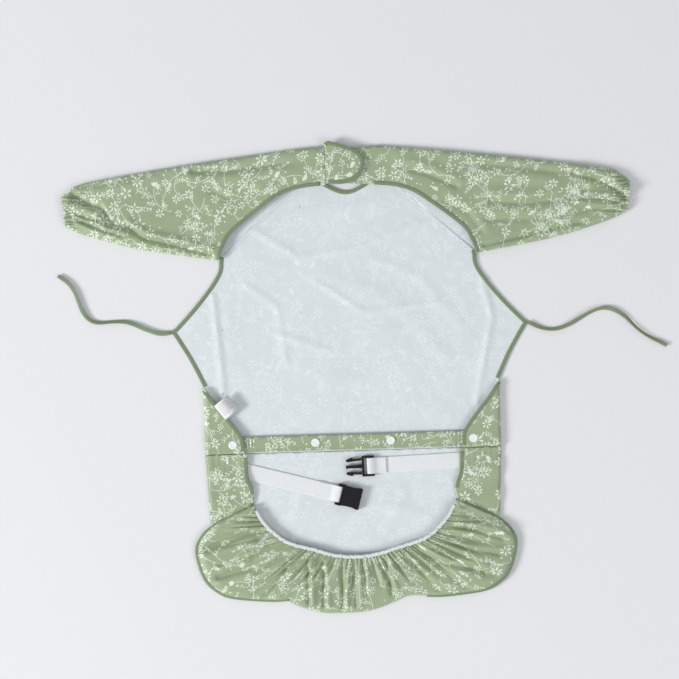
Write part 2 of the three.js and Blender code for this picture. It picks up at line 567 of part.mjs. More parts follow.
/** Socket half: crossbar and ears at the webbing, then a hollow box with side windows. */
const socket = (reach) => {
  const half = HALF_WEB + RAIL + 1;
  const start = reach + BAR / 2 + socketFront - 3.2;
  const end = start + SOCKET_LENGTH;
  const waist = half - 1.4;
  const body = [
    [start, -waist - 0.6], [start + 7, -waist], [end - 8, -waist], [end - 3, -half], [end, -half + 0.6],
    [end, half - 0.6], [end - 3, half], [end - 8, waist], [start + 7, waist], [start, waist + 0.6],
  ];
  const ears = join(
    box(reach - 3, start + 2, HALF_WEB + 0.6, half - 0.2, WEB_Z + 1, socketHigh - 1.4),
    box(reach - 3, start + 2, -half + 0.2, -HALF_WEB - 0.6, WEB_Z + 1, socketHigh - 1.4),
    crossbar(reach, HALF_WEB + 1),
    plate(body, WEB_Z, socketHigh),
  );
  const hollow = box(start + 2, end + 5, -HALF_WEB, HALF_WEB, WEB_Z + SHELL, socketHigh - SHELL);
  const window = box(start + 5, end - 6, -half - 5, half + 5, WEB_Z + SHELL + 0.3, socketHigh - SHELL - 0.3);
  const throat = box(start - 5, start + 0.6, -HALF_WEB - 0.3, HALF_WEB + 0.3, socketHigh - 1, socketHigh + 1);
  return cut(ears, hollow, window, throat);
};

const PLUG_HALF = 12.75;
const PRONG = 20; // length of the latch arms
const plugLow = WEB_Z + WEBBING_THICK;
const plugHigh = barZ + BAR + 0.3;

/** Plug half: side rails with three bars, and the middle guide prong. */
const plug = (reach) => {
  const front = reach + 9;
  const rail = HALF_WEB + 0.4;
  const prong = [
    [front - 1, -2.4], [front + PRONG - 3, -1.5], [front + PRONG - 1, -2.4], [front + PRONG, -1.2],
    [front + PRONG, 1.2], [front + PRONG - 1, 2.4], [front + PRONG - 3, 1.5], [front - 1, 2.4],
  ];
  return join(
    box(reach - 6.5, front, rail, PLUG_HALF, plugLow, plugHigh),
    box(reach - 6.5, front, -PLUG_HALF, -rail, plugLow, plugHigh),
    crossbar(reach, rail + 0.5),
    box(front - 3, front, -rail - 0.5, rail + 0.5, plugLow, plugHigh),
    plate(prong, barZ, barZ + BAR),
  );
};

/** A springy latch arm with an arrow head, on the side given. */
const latch = (reach, side) => {
  const root = reach + 9 + GAP;
  const tip = root + PRONG - GAP;
  const y = HALF_WEB - 1.2;
  const outline = [
    [root, y - 1.3], [tip - 1.5, y - 2.6], [tip, y - 1], [tip - 1, y + 0.6], [tip - 7, y + 2.6],
    [tip - 8.5, y + 2.4], [tip - 9, y + 0.6], [root, y + 1.4],
  ];
  return plate(outline.map(([along, aside]) => [along, side * aside]), barZ, barZ + BAR);
};

const rootX = COLUMN_EDGE - 1 - SEAM_GAP;
const leftRoot = [4.2 - rootX, HEM_Y - 24.4];
const rightRoot = [rootX - 1.6, HEM_Y - 16.2];
const leftStrap = strapFrame(...leftRoot, LEFT_STRAP_ANGLE);
const rightStrap = strapFrame(...rightRoot, RIGHT_STRAP_ANGLE);
const SEWN = 14; // length of webbing sewn under the column
const anchor = () => box(-SEWN - SEAM_GAP, -SEAM_GAP, -HALF_WEB, HALF_WEB, WEB_Z, WEB_Z + WEBBING_THICK);
add("strap_anchor_left", anchor(), WHITE, 0.8, leftStrap);
add("strap_anchor_right", anchor(), WHITE, 0.8, rightStrap);
add("strap_left", webbing(LEFT_STRAP, 30), WHITE, 0.8, leftStrap);
add("strap_right", webbing(RIGHT_STRAP, 22), WHITE, 0.8, rightStrap);
add("buckle_socket", socket(LEFT_STRAP), BLACK, 0.35, leftStrap);
add("buckle_plug", plug(RIGHT_STRAP), BLACK, 0.35, rightStrap);
add("latch_arm_upper", latch(RIGHT_STRAP, -1), BLACK, 0.35, rightStrap);
add("latch_arm_lower", latch(RIGHT_STRAP, 1), BLACK, 0.35, rightStrap);

export default garment;
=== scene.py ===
"""A toddler's smock with a catcher skirt on press studs, laid flat, lining side up.

Outlines and heights are in millimetres; meshes are in metres.
"""

import math
import random

import bmesh
import bpy
import numpy as np
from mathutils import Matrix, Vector
from mathutils.geometry import delaunay_2d_cdt


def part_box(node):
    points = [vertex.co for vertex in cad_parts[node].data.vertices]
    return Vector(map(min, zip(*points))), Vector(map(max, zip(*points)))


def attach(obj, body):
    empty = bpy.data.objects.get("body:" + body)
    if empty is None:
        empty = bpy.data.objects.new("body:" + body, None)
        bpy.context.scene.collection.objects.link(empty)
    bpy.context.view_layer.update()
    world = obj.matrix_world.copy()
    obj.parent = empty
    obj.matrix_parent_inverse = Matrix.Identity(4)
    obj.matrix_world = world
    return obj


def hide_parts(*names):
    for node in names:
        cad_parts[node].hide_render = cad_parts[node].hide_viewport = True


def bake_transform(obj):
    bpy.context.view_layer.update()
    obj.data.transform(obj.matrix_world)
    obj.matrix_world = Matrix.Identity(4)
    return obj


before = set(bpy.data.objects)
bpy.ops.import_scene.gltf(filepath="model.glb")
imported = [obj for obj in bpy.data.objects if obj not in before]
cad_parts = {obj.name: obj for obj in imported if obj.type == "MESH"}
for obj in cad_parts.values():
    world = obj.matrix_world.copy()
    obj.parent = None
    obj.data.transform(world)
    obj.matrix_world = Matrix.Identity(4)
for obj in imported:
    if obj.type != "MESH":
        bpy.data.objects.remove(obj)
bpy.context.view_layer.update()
MM = 0.001

# ---- Driving dimensions, in millimetres, read from the frame ----


def corner(node, which, axis):
    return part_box(node)[which][axis] / MM


HALF_SPAN = corner("cuff_right", 1, 0)
TOP = corner("neck_tab", 1, 1)
LOW = corner("rim_ruffle", 0, 1)
LOBE_X = corner("rim_ruffle", 1, 0)
COLUMN_X = corner("waistband_end_right", 1, 0) + 21.0
WING_X = corner("front_panel", 1, 0)
HEM_Y = corner("front_panel", 0, 1) - 0.4
ARMPIT_X = 161.0
ARMPIT_Y = TOP - 144.2
WING_Y = ARMPIT_Y - 88.0
COLUMN_EDGE = COLUMN_X - 51.0
COLUMN_TOP = WING_Y - 70.0
COLLAR_LOW = TOP - 53.5
CUFF_TOP = TOP - 59.5
CUFF_LOW = CUFF_TOP - 38.0
RIM_Y = LOW + 18.0
RIM_TOP = HEM_Y - 66.0
WAIST_TOP = HEM_Y + 20.4
NECK_HALF = 42.0
FOLD_X = ARMPIT_X + 19.0
BINDING = 4.8
ONTO = BINDING / 2 - 0.4  # from a cloth's edge in to the middle of its binding
CLOTH = 0.55
SIDES = (("left", -1), ("right", 1))
SNAPS = ("band_left", "band_right", "side_left", "side_right")
CYCLE = 6.28  # one wave or one turn, in radians
QUARTER = 1.5708  # a quarter turn
COARSE, MEDIUM, FINE = 3.2, 2.6, 2.2  # widths of the triangles in a cloth
LEFT_TURN = math.radians(-15.3)  # the way each chair strap points
RIGHT_TURN = math.radians(181.8)


def smooth(points, steps=8):
    """The same rounded line through given points as the frame uses."""
    p = [np.array(q, float) for q in points]
    out = []
    for i in range(len(p) - 1):
        p0, p1, p2, p3 = p[max(i - 1, 0)], p[i], p[i + 1], p[min(i + 2, len(p) - 1)]
        v0, v1 = (p2 - p0) / 2, (p3 - p1) / 2
        for k in range(steps):
            t = k / steps
            cubic = (2 * p1 - 2 * p2 + v0 + v1) * t**3
            square = (-3 * p1 + 3 * p2 - 2 * v0 - v1) * t**2
            out.append(cubic + square + v0 * t + p1)
    out.append(p[-1])
    return [(float(a), float(b)) for a, b in out]


def mirrored(points, side):
    return [(side * x, y) for x, y in points]


def resampled(points, step):
    """Points at even distances along a line."""
    p = np.array(points, float)
    along = np.concatenate([[0], np.cumsum(np.linalg.norm(np.diff(p, axis=0), axis=1))])
    count = max(2, int(round(along[-1] / step)) + 1)
    at = np.linspace(0, along[-1], count)
    return [tuple(q) for q in np.stack([np.interp(at, along, p[:, k]) for k in range(p.shape[1])], 1)]


def directions(points):
    """The way a line runs at each of its points, as unit vectors."""
    p = np.array(points, float)
    ahead = np.vstack([p[1:], p[-1:]]) - np.vstack([p[:1], p[:-1]])
    return ahead / np.maximum(np.linalg.norm(ahead, axis=1, keepdims=True), 1e-9)


def offset(points, distance):
    """A line moved to its left."""
    ahead = directions(points)
    return [(x - dy * distance, y + dx * distance) for (x, y), (dx, dy) in zip(points, ahead)]


# ---- Outlines, drawn for the right-hand side ----

sleeve_top = smooth([
    (30, TOP - 8.5), (56, TOP - 8.5), (0.58 * HALF_SPAN, TOP - 25.8), (HALF_SPAN - 32, TOP - 43),
    (HALF_SPAN - 12, TOP - 50), (HALF_SPAN, CUFF_TOP),
])
sleeve_low = smooth([
    (ARMPIT_X, ARMPIT_Y), (ARMPIT_X + 44, ARMPIT_Y + 7), (0.74 * HALF_SPAN, ARMPIT_Y + 17.5),
    (HALF_SPAN - 31, CUFF_LOW - 11.5), (HALF_SPAN - 4.5, CUFF_LOW),
])
back_edge = smooth([
    (ARMPIT_X - 1, ARMPIT_Y + 0.5), (ARMPIT_X - 7, ARMPIT_Y + 17), (ARMPIT_X - 19, ARMPIT_Y + 35),
    (ARMPIT_X - 60, ARMPIT_Y + 67), (ARMPIT_X - 81, ARMPIT_Y + 80), (ARMPIT_X - 104, COLLAR_LOW - 4),
    (ARMPIT_X - 135, COLLAR_LOW - 1),
])
neckline = smooth([
    (-NECK_HALF, COLLAR_LOW + 16), (-24, COLLAR_LOW + 1), (0, COLLAR_LOW - 8.5),
    (24, COLLAR_LOW + 1), (NECK_HALF, COLLAR_LOW + 16),
])
armhole_edge = smooth([
    (ARMPIT_X - 1, ARMPIT_Y - 2), (ARMPIT_X + 1, ARMPIT_Y - 15), (ARMPIT_X + 14, ARMPIT_Y - 35.5),
    (WING_X - 24, WING_Y + 25), (WING_X, WING_Y),
], 6)
wing_edge = smooth([
    (WING_X, WING_Y), (WING_X - 21, WING_Y - 35), (COLUMN_X + 2, WING_Y - 66), (COLUMN_X, COLUMN_TOP),
], 5)
folded_edge = smooth([
    (COLUMN_X, COLUMN_TOP), (COLUMN_X - 12, COLUMN_TOP - 18), (COLUMN_X - 28, COLUMN_TOP - 38),
    (COLUMN_EDGE + 11, HEM_Y + 30.5), (COLUMN_EDGE + 4, HEM_Y + 18), (COLUMN_EDGE + 3, HEM_Y + 1),
], 5)
skirt_edge = smooth([
    (COLUMN_EDGE, HEM_Y - 1), (COLUMN_EDGE - 1, HEM_Y - 29), (COLUMN_EDGE - 6, HEM_Y - 43),
    (COLUMN_EDGE - 8, RIM_TOP + 7),
], 5)
MIDDLE_X = LOBE_X - 114
BULGE_X = -15
lobe = smooth([
    (COLUMN_EDGE - 8, RIM_TOP + 2), (COLUMN_EDGE + 22, RIM_TOP - 11), (COLUMN_X - 7, RIM_TOP - 22),
    (LOBE_X - 7, RIM_TOP - 36), (LOBE_X, RIM_TOP - 55), (LOBE_X - 9, RIM_TOP - 88),
    (LOBE_X - 24, RIM_Y + 14), (LOBE_X - 44, RIM_Y + 5), (LOBE_X - 90, RIM_Y), (MIDDLE_X, RIM_Y + 0.5),
], 5)
bulge = smooth([
    (MIDDLE_X, RIM_Y + 0.5), (62, RIM_Y + 0.8), (BULGE_X + 49, LOW + 7.4), (BULGE_X + 26, LOW + 1.2),
    (BULGE_X, LOW), (BULGE_X - 30, LOW + 1.2), (BULGE_X - 64, LOW + 12), (-MIDDLE_X, RIM_Y + 0.5),
], 5)
ELASTIC_LOW = LOW + 72
elastic_half = [
    (COLUMN_EDGE - 8, RIM_TOP - 2), (COLUMN_EDGE - 18, RIM_TOP - 18), (COLUMN_EDGE - 32, RIM_TOP - 32),
    (COLUMN_EDGE - 51, ELASTIC_LOW + 19.5), (COLUMN_EDGE - 81, ELASTIC_LOW + 10.5),
    (COLUMN_EDGE - 105, ELASTIC_LOW + 3),
]
elastic = smooth([*elastic_half, (0, ELASTIC_LOW), *mirrored(elastic_half, -1)[::-1]], 6)
rim_outer = lobe + bulge[1:-1] + mirrored(lobe, -1)[::-1]

# ---- Camera: straight down, the garment turned a little as it lies ----

CAMERA = (-13.2, 47.0)
FIELD = 848.75
DISTANCE = 2000.0
TURN = math.radians(-1.72)

camera_data = bpy.data.cameras.new("camera")
camera_data.sensor_width = 36
camera_data.lens = 36 * DISTANCE / FIELD
camera_data.clip_end = 20
camera = bpy.data.objects.new("camera", camera_data)
camera.location = (CAMERA[0] * MM, CAMERA[1] * MM, DISTANCE * MM)
camera.rotation_euler = (0, 0, TURN)
bpy.context.collection.objects.link(camera)
bpy.context.scene.camera = camera

# ---- Materials ----


def started(name):
    """A new material: (material, nodes, shader)."""
    material = bpy.data.materials.new(name)
    material.use_nodes = True
    nodes = material.node_tree.nodes
    return material, nodes, nodes["Principled BSDF"]


def added(nodes, kind, **values):
    """A new node with its inputs set. An underscore stands for the space in an input's name."""
    node = nodes.new("ShaderNode" + kind)
    for key, value in values.items():
        node.inputs[key.replace("_", " ")].default_value = value
    return node


def wire(source, out, target, into):
    """Joins one node's output to another's input."""
    source.id_data.links.new(source.outputs[out], target.inputs[into])


def fabric(name, color, rough=0.8, weave=900.0, depth=0.25, vary=0.05, sheen=0.15, turn=0.0):
    """Woven cloth: crossed threads and small creases as bump, with a little cloudiness in its colour."""
    material, nodes, shader = started(name)
    shader.inputs["Roughness"].default_value = rough
    shader.inputs["Sheen Weight"].default_value = sheen
    place = added(nodes, "TexCoord")
    mapping = added(nodes, "Mapping", Rotation=(0, 0, turn))
    wire(place, "Object", mapping, "Vector")
    crossed = added(nodes, "Math")
    crossed.operation = "MAXIMUM"
    for k, axis in enumerate("XY"):
        wave = added(nodes, "TexWave", Scale=weave / CYCLE, Distortion=0.6)
        wave.bands_direction = axis
        wire(mapping, "Vector", wave, "Vector")
        wire(wave, "Fac", crossed, k)
    bump = added(nodes, "Bump", Strength=depth, Distance=0.0002)
    wire(crossed, "Value", bump, "Height")
    crumple = added(nodes, "TexNoise", Scale=70, Detail=3)
    wire(mapping, "Vector", crumple, "Vector")
    creases = added(nodes, "Bump", Strength=0.22, Distance=0.0014)
    wire(crumple, "Fac", creases, "Height")
    wire(bump, "Normal", creases, "Normal")
    wire(creases, "Normal", shader, "Normal")
    cloud = added(nodes, "TexNoise", Scale=26)
    wire(mapping, "Vector", cloud, "Vector")
    mix = added(nodes, "Mix")
    mix.data_type = "RGBA"
    mix.inputs["A"].default_value = (*[c * (1 - vary) for c in color], 1)
    mix.inputs["B"].default_value = (*[min(1, c * (1 + vary)) for c in color], 1)
    wire(cloud, "Fac", mix, "Factor")
    wire(mix, "Result", shader, "Base Color")
    return material


def plastic(name, color, rough):
    """Moulded plastic with a faint grain and uneven gloss."""
    material, nodes, shader = started(name)
    shader.inputs["Base Color"].default_value = (*color, 1)
    place = added(nodes, "TexCoord")
    grain = added(nodes, "TexNoise", Scale=900)
    wire(place, "Object", grain, "Vector")
    bump = added(nodes, "Bump", Strength=0.2, Distance=0.0001)
    wire(grain, "Fac", bump, "Height")
    wire(bump, "Normal", shader, "Normal")
    gloss = added(nodes, "MapRange", To_Min=rough - 0.06, To_Max=rough + 0.06)
    wire(grain, "Fac", gloss, "Value")
    wire(gloss, "Result", shader, "Roughness")
    return material


GREEN = (0.335, 0.41, 0.25)
PALE = (0.705, 0.75, 0.76)
WEBBING_WHITE = (0.85, 0.86, 0.865)
prints = fabric("print_cloth", GREEN, 0.44, 2400, 0.16, 0.08)
ink = fabric("print_ink", (0.76, 0.83, 0.70), 0.44, 2400, 0.2, 0.04)
lining = fabric("lining_film", PALE, 0.5, 2400, 0.1, 0.03, 0.05)
ghost = fabric("lining_ghost", (0.785, 0.82, 0.83), 0.5, 2400, 0.1, 0.03, 0.05)
trim = fabric("binding_tape", (0.215, 0.28, 0.165), 0.85, 4200, 0.5, 0.05)
thread = fabric("thread", (0.33, 0.40, 0.26), 0.7, 6000, 0.4, 0.05)
white_thread = fabric("white_thread", (0.72, 0.74, 0.73), 0.7, 6000, 0.4, 0.04)
rubber = fabric("elastic_knit", (0.74, 0.77, 0.76), 0.8, 3000, 0.5, 0.03)
web_left = fabric("webbing_left", WEBBING_WHITE, 0.75, 3200, 0.7, 0.03, turn=-LEFT_TURN)
web_right = fabric("webbing_right", WEBBING_WHITE, 0.75, 3200, 0.7, 0.03, turn=math.pi - RIGHT_TURN)
pile = fabric("hook_and_loop", (0.75, 0.77, 0.76), 0.95, 2000, 1.0, 0.05)
satin = fabric("label_satin", (0.80, 0.80, 0.79), 0.45, 4000, 0.3, 0.03)
label_ink = fabric("label_ink", (0.42, 0.43, 0.43), 0.6, 4000, 0.2, 0.03)
white_plastic = plastic("snap_plastic", (0.86, 0.88, 0.87), 0.3)
black_plastic = plastic("buckle_plastic", (0.006, 0.006, 0.008), 0.5)
black_plastic.node_tree.nodes["Principled BSDF"].inputs["Specular IOR Level"].default_value = 0.3
PRINT_OUT = [prints, ink, lining, ghost]
LINING_OUT = [lining, ghost, prints, ink]

# ---- Helpers ----


def link(name, mesh):
    piece = bpy.data.objects.new(name, mesh)
    bpy.context.collection.objects.link(piece)
    return piece


def mount(piece, body, slot, *nodes):
    """Makes a piece ride with a body and stand for nodes of the frame; the slot is not used."""
    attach(piece, body)
    if nodes:
        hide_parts(*nodes)


def mesh_of(name, verts, faces, materials, marks, uv=None):
    """A smooth-shaded mesh from millimetres; marks say which material each face has."""
    mesh = bpy.data.meshes.new(name)
    mesh.from_pydata([tuple(c * MM for c in v) for v in verts], [], faces)
    for material in materials:
        mesh.materials.append(material)
    mesh.polygons.foreach_set("material_index", marks)
    mesh.polygons.foreach_set("use_smooth", [True] * len(mesh.polygons))
    if uv is not None:
        layer = mesh.uv_layers.new(name="flat_pattern")
        corners = np.empty(len(mesh.loops), int)
        mesh.loops.foreach_get("vertex_index", corners)
        layer.data.foreach_set("uv", (np.array(uv)[corners] * MM).ravel())
    mesh.update()
    return mesh


def anticlockwise(outline):
    """The outline, turned round if it runs clockwise."""
    p = np.asarray(outline, float)
    q = np.roll(p, -1, axis=0)
    area = np.sum(p[:, 0] * q[:, 1] - q[:, 0] * p[:, 1])
    return [tuple(v) for v in (p if area > 0 else p[::-1])]


def inside(points, outline):
    """Which of the points lie inside a closed outline."""
    points, edge = np.asarray(points, float), np.asarray(outline, float)
    x, y = points[:, 0], points[:, 1]
    result = np.zeros(len(points), bool)
    for (x0, y0), (x1, y1) in zip(edge, np.roll(edge, -1, axis=0)):
        if y0 == y1:
            continue
        crosses = (y0 > y) != (y1 > y)
        result ^= crosses & (x < (x1 - x0) * (y - y0) / (y1 - y0) + x0)
    return result


def away(x, y, line):
    """Distance from each place to a line."""
    p = np.stack([x, y], 1)
    best = np.full(len(p), 1e9)
    line = np.asarray(line, float)
    for a, b in zip(line[:-1], line[1:]):
        d = b - a
        t = np.clip(((p - a) @ d) / max(d @ d, 1e-12), 0, 1)
        best = np.minimum(best, np.hypot(*(p - a - t[:, None] * d).T))
    return best


def ease(t):
    """A soft step from 0 to 1."""
    t = np.clip(t, 0, 1)
    return t * t * (3 - 2 * t)


def rolled(distance, radius):
    """0 at a folded edge, rising as a quarter circle to 1 a radius away from it."""
    t = 1 - np.clip(distance / radius, 0, 1)
    return np.sqrt(1 - t * t)


def ripple(x, y, size, seed):
    """Smooth uneven waves between about -1 and 1."""
    rng = np.random.default_rng(seed)
    total = np.zeros_like(x)
    for _ in range(7):
        angle, phase, scale = rng.uniform(0, CYCLE), rng.uniform(0, CYCLE), size * rng.uniform(0.7, 1.6)
        total += np.sin((x * np.cos(angle) + y * np.sin(angle)) * CYCLE / scale + phase)
    return total / 3.2


def crease(line, depth, width, aside):
    """A valley, with the cloth that it took standing as a ridge beside it."""
    return [(line, -depth, width), (offset(line, aside), 0.75 * depth, 1.7 * width)]


def folds(x, y, lines):
    """Soft ridges and valleys: each line has a height and a width."""
    total = np.zeros_like(x)
    for line, height, width in lines:
        d = away(x, y, line)
        total += height * np.exp(-((d / width) ** 2))
    return total


# ---- The print: flowers, leafy sprigs and berries ----


def turned(points, x, y, angle):
    """Points turned about the origin, then moved to (x, y)."""
    c, s = math.cos(angle), math.sin(angle)
    return [(x + c * a - s * b, y + s * a + c * b) for a, b in points]


def leaf(long, wide, count=3):
    """A slim leaf or petal along +X, widest past its middle."""
    up = [(long * k / count, wide / 2 * math.sin(math.pi * (k / count) ** 1.35)) for k in range(1, count)]
    return [(0, 0), *[(a, -b) for a, b in up], (long, 0), *up[::-1]]


def flower(x, y, radius, petals, angle, rng, spread=2 * math.pi):
    """Slim separate petals about a small bare eye; a narrow spread is a flower seen from its side."""
    out = []
    for k in range(petals):
        way = angle + spread * (k / petals - 0.5) + rng.uniform(-0.1, 0.1)
        reach = radius * rng.uniform(0.78, 1.0)
        petal = [(a + radius * 0.16, b) for a, b in leaf(reach, 0.36 * radius, 4)]
        out.append(turned(petal, x, y, way))
    return out


def stem(x, y, angle, long, bend, half=0.26):
    """A thin bent line and the places along it."""
    steps = max(3, int(long / 3.6))
    spine = []
    for _ in range(steps + 1):
        spine.append((x, y, angle))
        x += math.cos(angle) * long / steps
        y += math.sin(angle) * long / steps
        angle += bend / steps
    left = [(u - math.sin(w) * half, v + math.cos(w) * half) for u, v, w in spine]
    right = [(u + math.sin(w) * half, v - math.cos(w) * half) for u, v, w in spine]
    return right + left[::-1], spine


def dot(x, y, radius):
    rounds = np.linspace(0, CYCLE, 7)[:-1]
    return turned([(radius * math.cos(t), radius * math.sin(t)) for t in rounds], x, y, 0)


def sprig(x, y, angle, long, rng, berries):
    """A short curved twig with leaves, or with berries on stalks, down both sides."""
    line, spine = stem(x, y, angle, long, rng.uniform(-0.9, 0.9))
    out = [line]
    for k, (u, v, w) in enumerate(spine[1:], 1):
        for hand in (-1, 1):
            if rng.random() < 0.16:
                continue
            way = w + hand * rng.uniform(0.55, 0.95)
            size = rng.uniform(3.0, 4.8) * (1.12 - 0.45 * k / len(spine))
            if berries:
                stalk, ends = stem(u, v, way, size, 0.2 * hand, 0.2)
                out += [stalk, dot(ends[-1][0], ends[-1][1], rng.uniform(0.7, 1.1))]
            else:
                out.append(turned(leaf(size, size * 0.34), u, v, way))
    u, v, w = spine[-1]
    out.append(dot(u, v, 1.0) if berries else turned(leaf(3.8, 1.3), u, v, w))
    return out


def branch(x, y, angle, long, rng):
    """A long bending stem with sprigs to its left and right: (shapes, where it ends)."""
    line, spine = stem(x, y, angle, long, rng.uniform(-1.9, 1.9), 0.3)
    out = [line]
    hand = rng.choice((-1, 1))
    for u, v, w in spine[2:-1:3]:
        hand = -hand
        out += sprig(u, v, w + hand * rng.uniform(0.6, 1.1), rng.uniform(8, 17), rng, rng.random() < 0.4)
    return out, spine[-1]


APART = 14  # least distance between the middles of two flowers
ROW = 0.87  # height of a row in a triangular grid, as a share of its pitch


def motifs(x0, x1, y0, y1, seed, pitch=26.0):
    """The print over a rectangle of cloth: branches that wander, with loose flowers and berries."""
    rng = random.Random(seed)
    leaves, petals, centres = [], [], []

    def bloom(x, y, radius, count, angle, spread=2 * math.pi):
        if all(math.hypot(x - u, y - v) > APART for u, v, _ in centres):
            centres.append((x, y, 0.95 * radius))
            petals.extend(flower(x, y, radius, count, angle, rng, spread))

    rows = int((y1 - y0) / (pitch * ROW)) + 2
    cols = int((x1 - x0) / pitch) + 2
    for r in range(rows):
        for c in range(cols):
            x = x0 + (c + 0.5 * (r % 2)) * pitch + rng.uniform(-9, 9)
            y = y0 + r * pitch * ROW + rng.uniform(-9, 9)
            angle = rng.uniform(0, CYCLE)
            shapes, (u, v, w) = branch(x, y, angle, rng.uniform(16, 42), rng)
            leaves += shapes
            if rng.random() < 0.55:
                u, v = u + 3 * math.cos(w), v + 3 * math.sin(w)
                bloom(u, v, rng.uniform(5.6, 7.6), rng.choice((5, 6, 7)), w)
            else:
                bloom(u, v, rng.uniform(5.5, 7.5), rng.choice((3, 4, 5)), w, rng.uniform(1.6, 2.6))
            if rng.random() < 0.6:
                back = angle + rng.uniform(2.2, 4.0)
                leaves += sprig(x, y, back, rng.uniform(9, 18), rng, rng.random() < 0.5)
            bloom(x - 11 * math.cos(angle), y - 11 * math.sin(angle), rng.uniform(4.4, 6.4), 6, angle)
            for _ in range(rng.choice((1, 2, 3, 4))):
                u, v = x + rng.uniform(-15, 15), y + rng.uniform(-15, 15)
                leaves.append(dot(u, v, rng.uniform(0.8, 1.25)))
    roots = np.array([shape[0] for shape in leaves])
    clear = np.ones(len(leaves), bool)
    for u, v, radius in centres:
        clear &= np.hypot(roots[:, 0] - u, roots[:, 1] - v) > radius
    return petals + [shape for shape, keep in zip(leaves, clear) if keep]


def near_outline(shapes, outline):
    """The shapes that reach into an outline's box."""
    low, high = np.min(outline, 0), np.max(outline, 0)
    return [s for s in shapes if (np.max(s, 0) > low).all() and (np.min(s, 0) < high).all()]


def even_grid(low, high, spacing):
    """Places on a triangular grid over a rectangle."""
    grid = []
    for r, y in enumerate(np.arange(low[1], high[1], spacing * ROW)):
        shift = spacing / 2 if r % 2 else 0
        grid += [(x + shift, y) for x in np.arange(low[0], high[0], spacing)]
    return np.array(grid)


def cloth_layer(outline, shapes, shape, spacing=COARSE, down=False, beyond=None):
    """Triangles of one layer: (places in 3-D, faces, printed or not, places in the flat).

    Past x = beyond, on either side, the triangles are half as wide.
    """
    edge = anticlockwise(outline)
    low, high = np.min(edge, 0), np.max(edge, 0)
    grid = even_grid(low, high, spacing)
    if beyond is not None:
        finer = even_grid(low, high, spacing / 2)
        grid = np.vstack([grid[np.abs(grid[:, 0]) < beyond], finer[np.abs(finer[:, 0]) >= beyond]])
    grid = grid[inside(grid, edge)]
    grid = grid[away(grid[:, 0], grid[:, 1], edge + edge[:1]) > 0.3 * spacing]
    points = [Vector(p) for p in edge] + [Vector(p) for p in grid]
    faces = [list(range(len(edge)))]
    for s in shapes:
        faces.append(list(range(len(points), len(points) + len(s))))
        points += [Vector(p) for p in anticlockwise(s)]
    verts, _, tris, _, _, origins = delaunay_2d_cdt(points, [], faces, 1, 1e-4, True)
    flat = np.array([(v.x, v.y) for v in verts])
    kept, marks = [], []
    for tri, origin in zip(tris, origins):
        if 0 not in origin:
            continue
        kept.append(tuple(tri[::-1]) if down else tuple(tri))
        marks.append(1 if len(origin) > 1 else 0)
    places = np.stack(shape(flat[:, 0], flat[:, 1]), 1)
    return places, kept, marks, flat


def applied(piece):
    """Bakes a piece's modifiers into its mesh."""
    graph = bpy.context.evaluated_depsgraph_get()
    mesh = bpy.data.meshes.new_from_object(piece.evaluated_get(graph))
    old = piece.data
    piece.modifiers.clear()
    piece.data = mesh
    bpy.data.meshes.remove(old)
    return piece


def sewn(name, layers, materials, rim=0):
    """One cloth from layers that share their folded edges, given its thickness."""
    verts, faces, marks, uv = [], [], [], []
    for places, tris, ink_marks, flat in layers:
        base = len(verts)
        verts += [tuple(p) for p in places]
        faces += [tuple(base + i for i in tri) for tri in tris]
        marks += ink_marks
        uv += [tuple(p) for p in flat]
    mesh = mesh_of(name, verts, faces, materials, marks, uv)
    shell = bmesh.new()
    shell.from_mesh(mesh)
    bmesh.ops.remove_doubles(shell, verts=shell.verts, dist=0.03 * MM)
    loose = [v for v in shell.verts if not v.link_faces]
    bmesh.ops.delete(shell, geom=loose, context="VERTS")
    shell.to_mesh(mesh)
    shell.free()
    piece = link(name, mesh)
    solid = piece.modifiers.new("thickness", "SOLIDIFY")
    solid.thickness = CLOTH * MM
    solid.offset = -1
    solid.material_offset = 2
    solid.material_offset_rim = rim
    return applied(piece)


def tube_faces(rings, sides, base=0):
    """Faces that join rings of places into a closed tube; base is the number of the first place."""
    faces = []
    for k in range(rings - 1):
        for j in range(sides):
            a, b = base + k * sides + j, base + k * sides + (j + 1) % sides
            faces.append((a, b, b + sides, a + sides))
    last = base + (rings - 1) * sides
    faces.append(tuple(range(base + sides - 1, base - 1, -1)))
    faces.append(tuple(range(last, last + sides)))
    return faces


def tape(line, width, thick, ups=None, sides=10, flat=0.55):
    """A band with rounded edges along a 3-D line: (places, faces)."""
    p = np.array(line, float)
    ahead = directions(p)
    up = np.tile([0.0, 0.0, 1.0], (len(p), 1)) if ups is None else np.array(ups, float)
    across = np.cross(up, ahead)
    across /= np.linalg.norm(across, axis=1, keepdims=True)
    up = np.cross(ahead, across)
    places = []
    for k in range(len(p)):
        for j in range(sides):
            a = 2 * math.pi * (j + 0.5) / sides
            c = math.copysign(abs(math.cos(a)) ** flat, math.cos(a)) * width / 2
            s = math.copysign(abs(math.sin(a)) ** flat, math.sin(a)) * thick / 2
            places.append(tuple(p[k] + across[k] * c + up[k] * s))
    return places, tube_faces(len(p), sides)


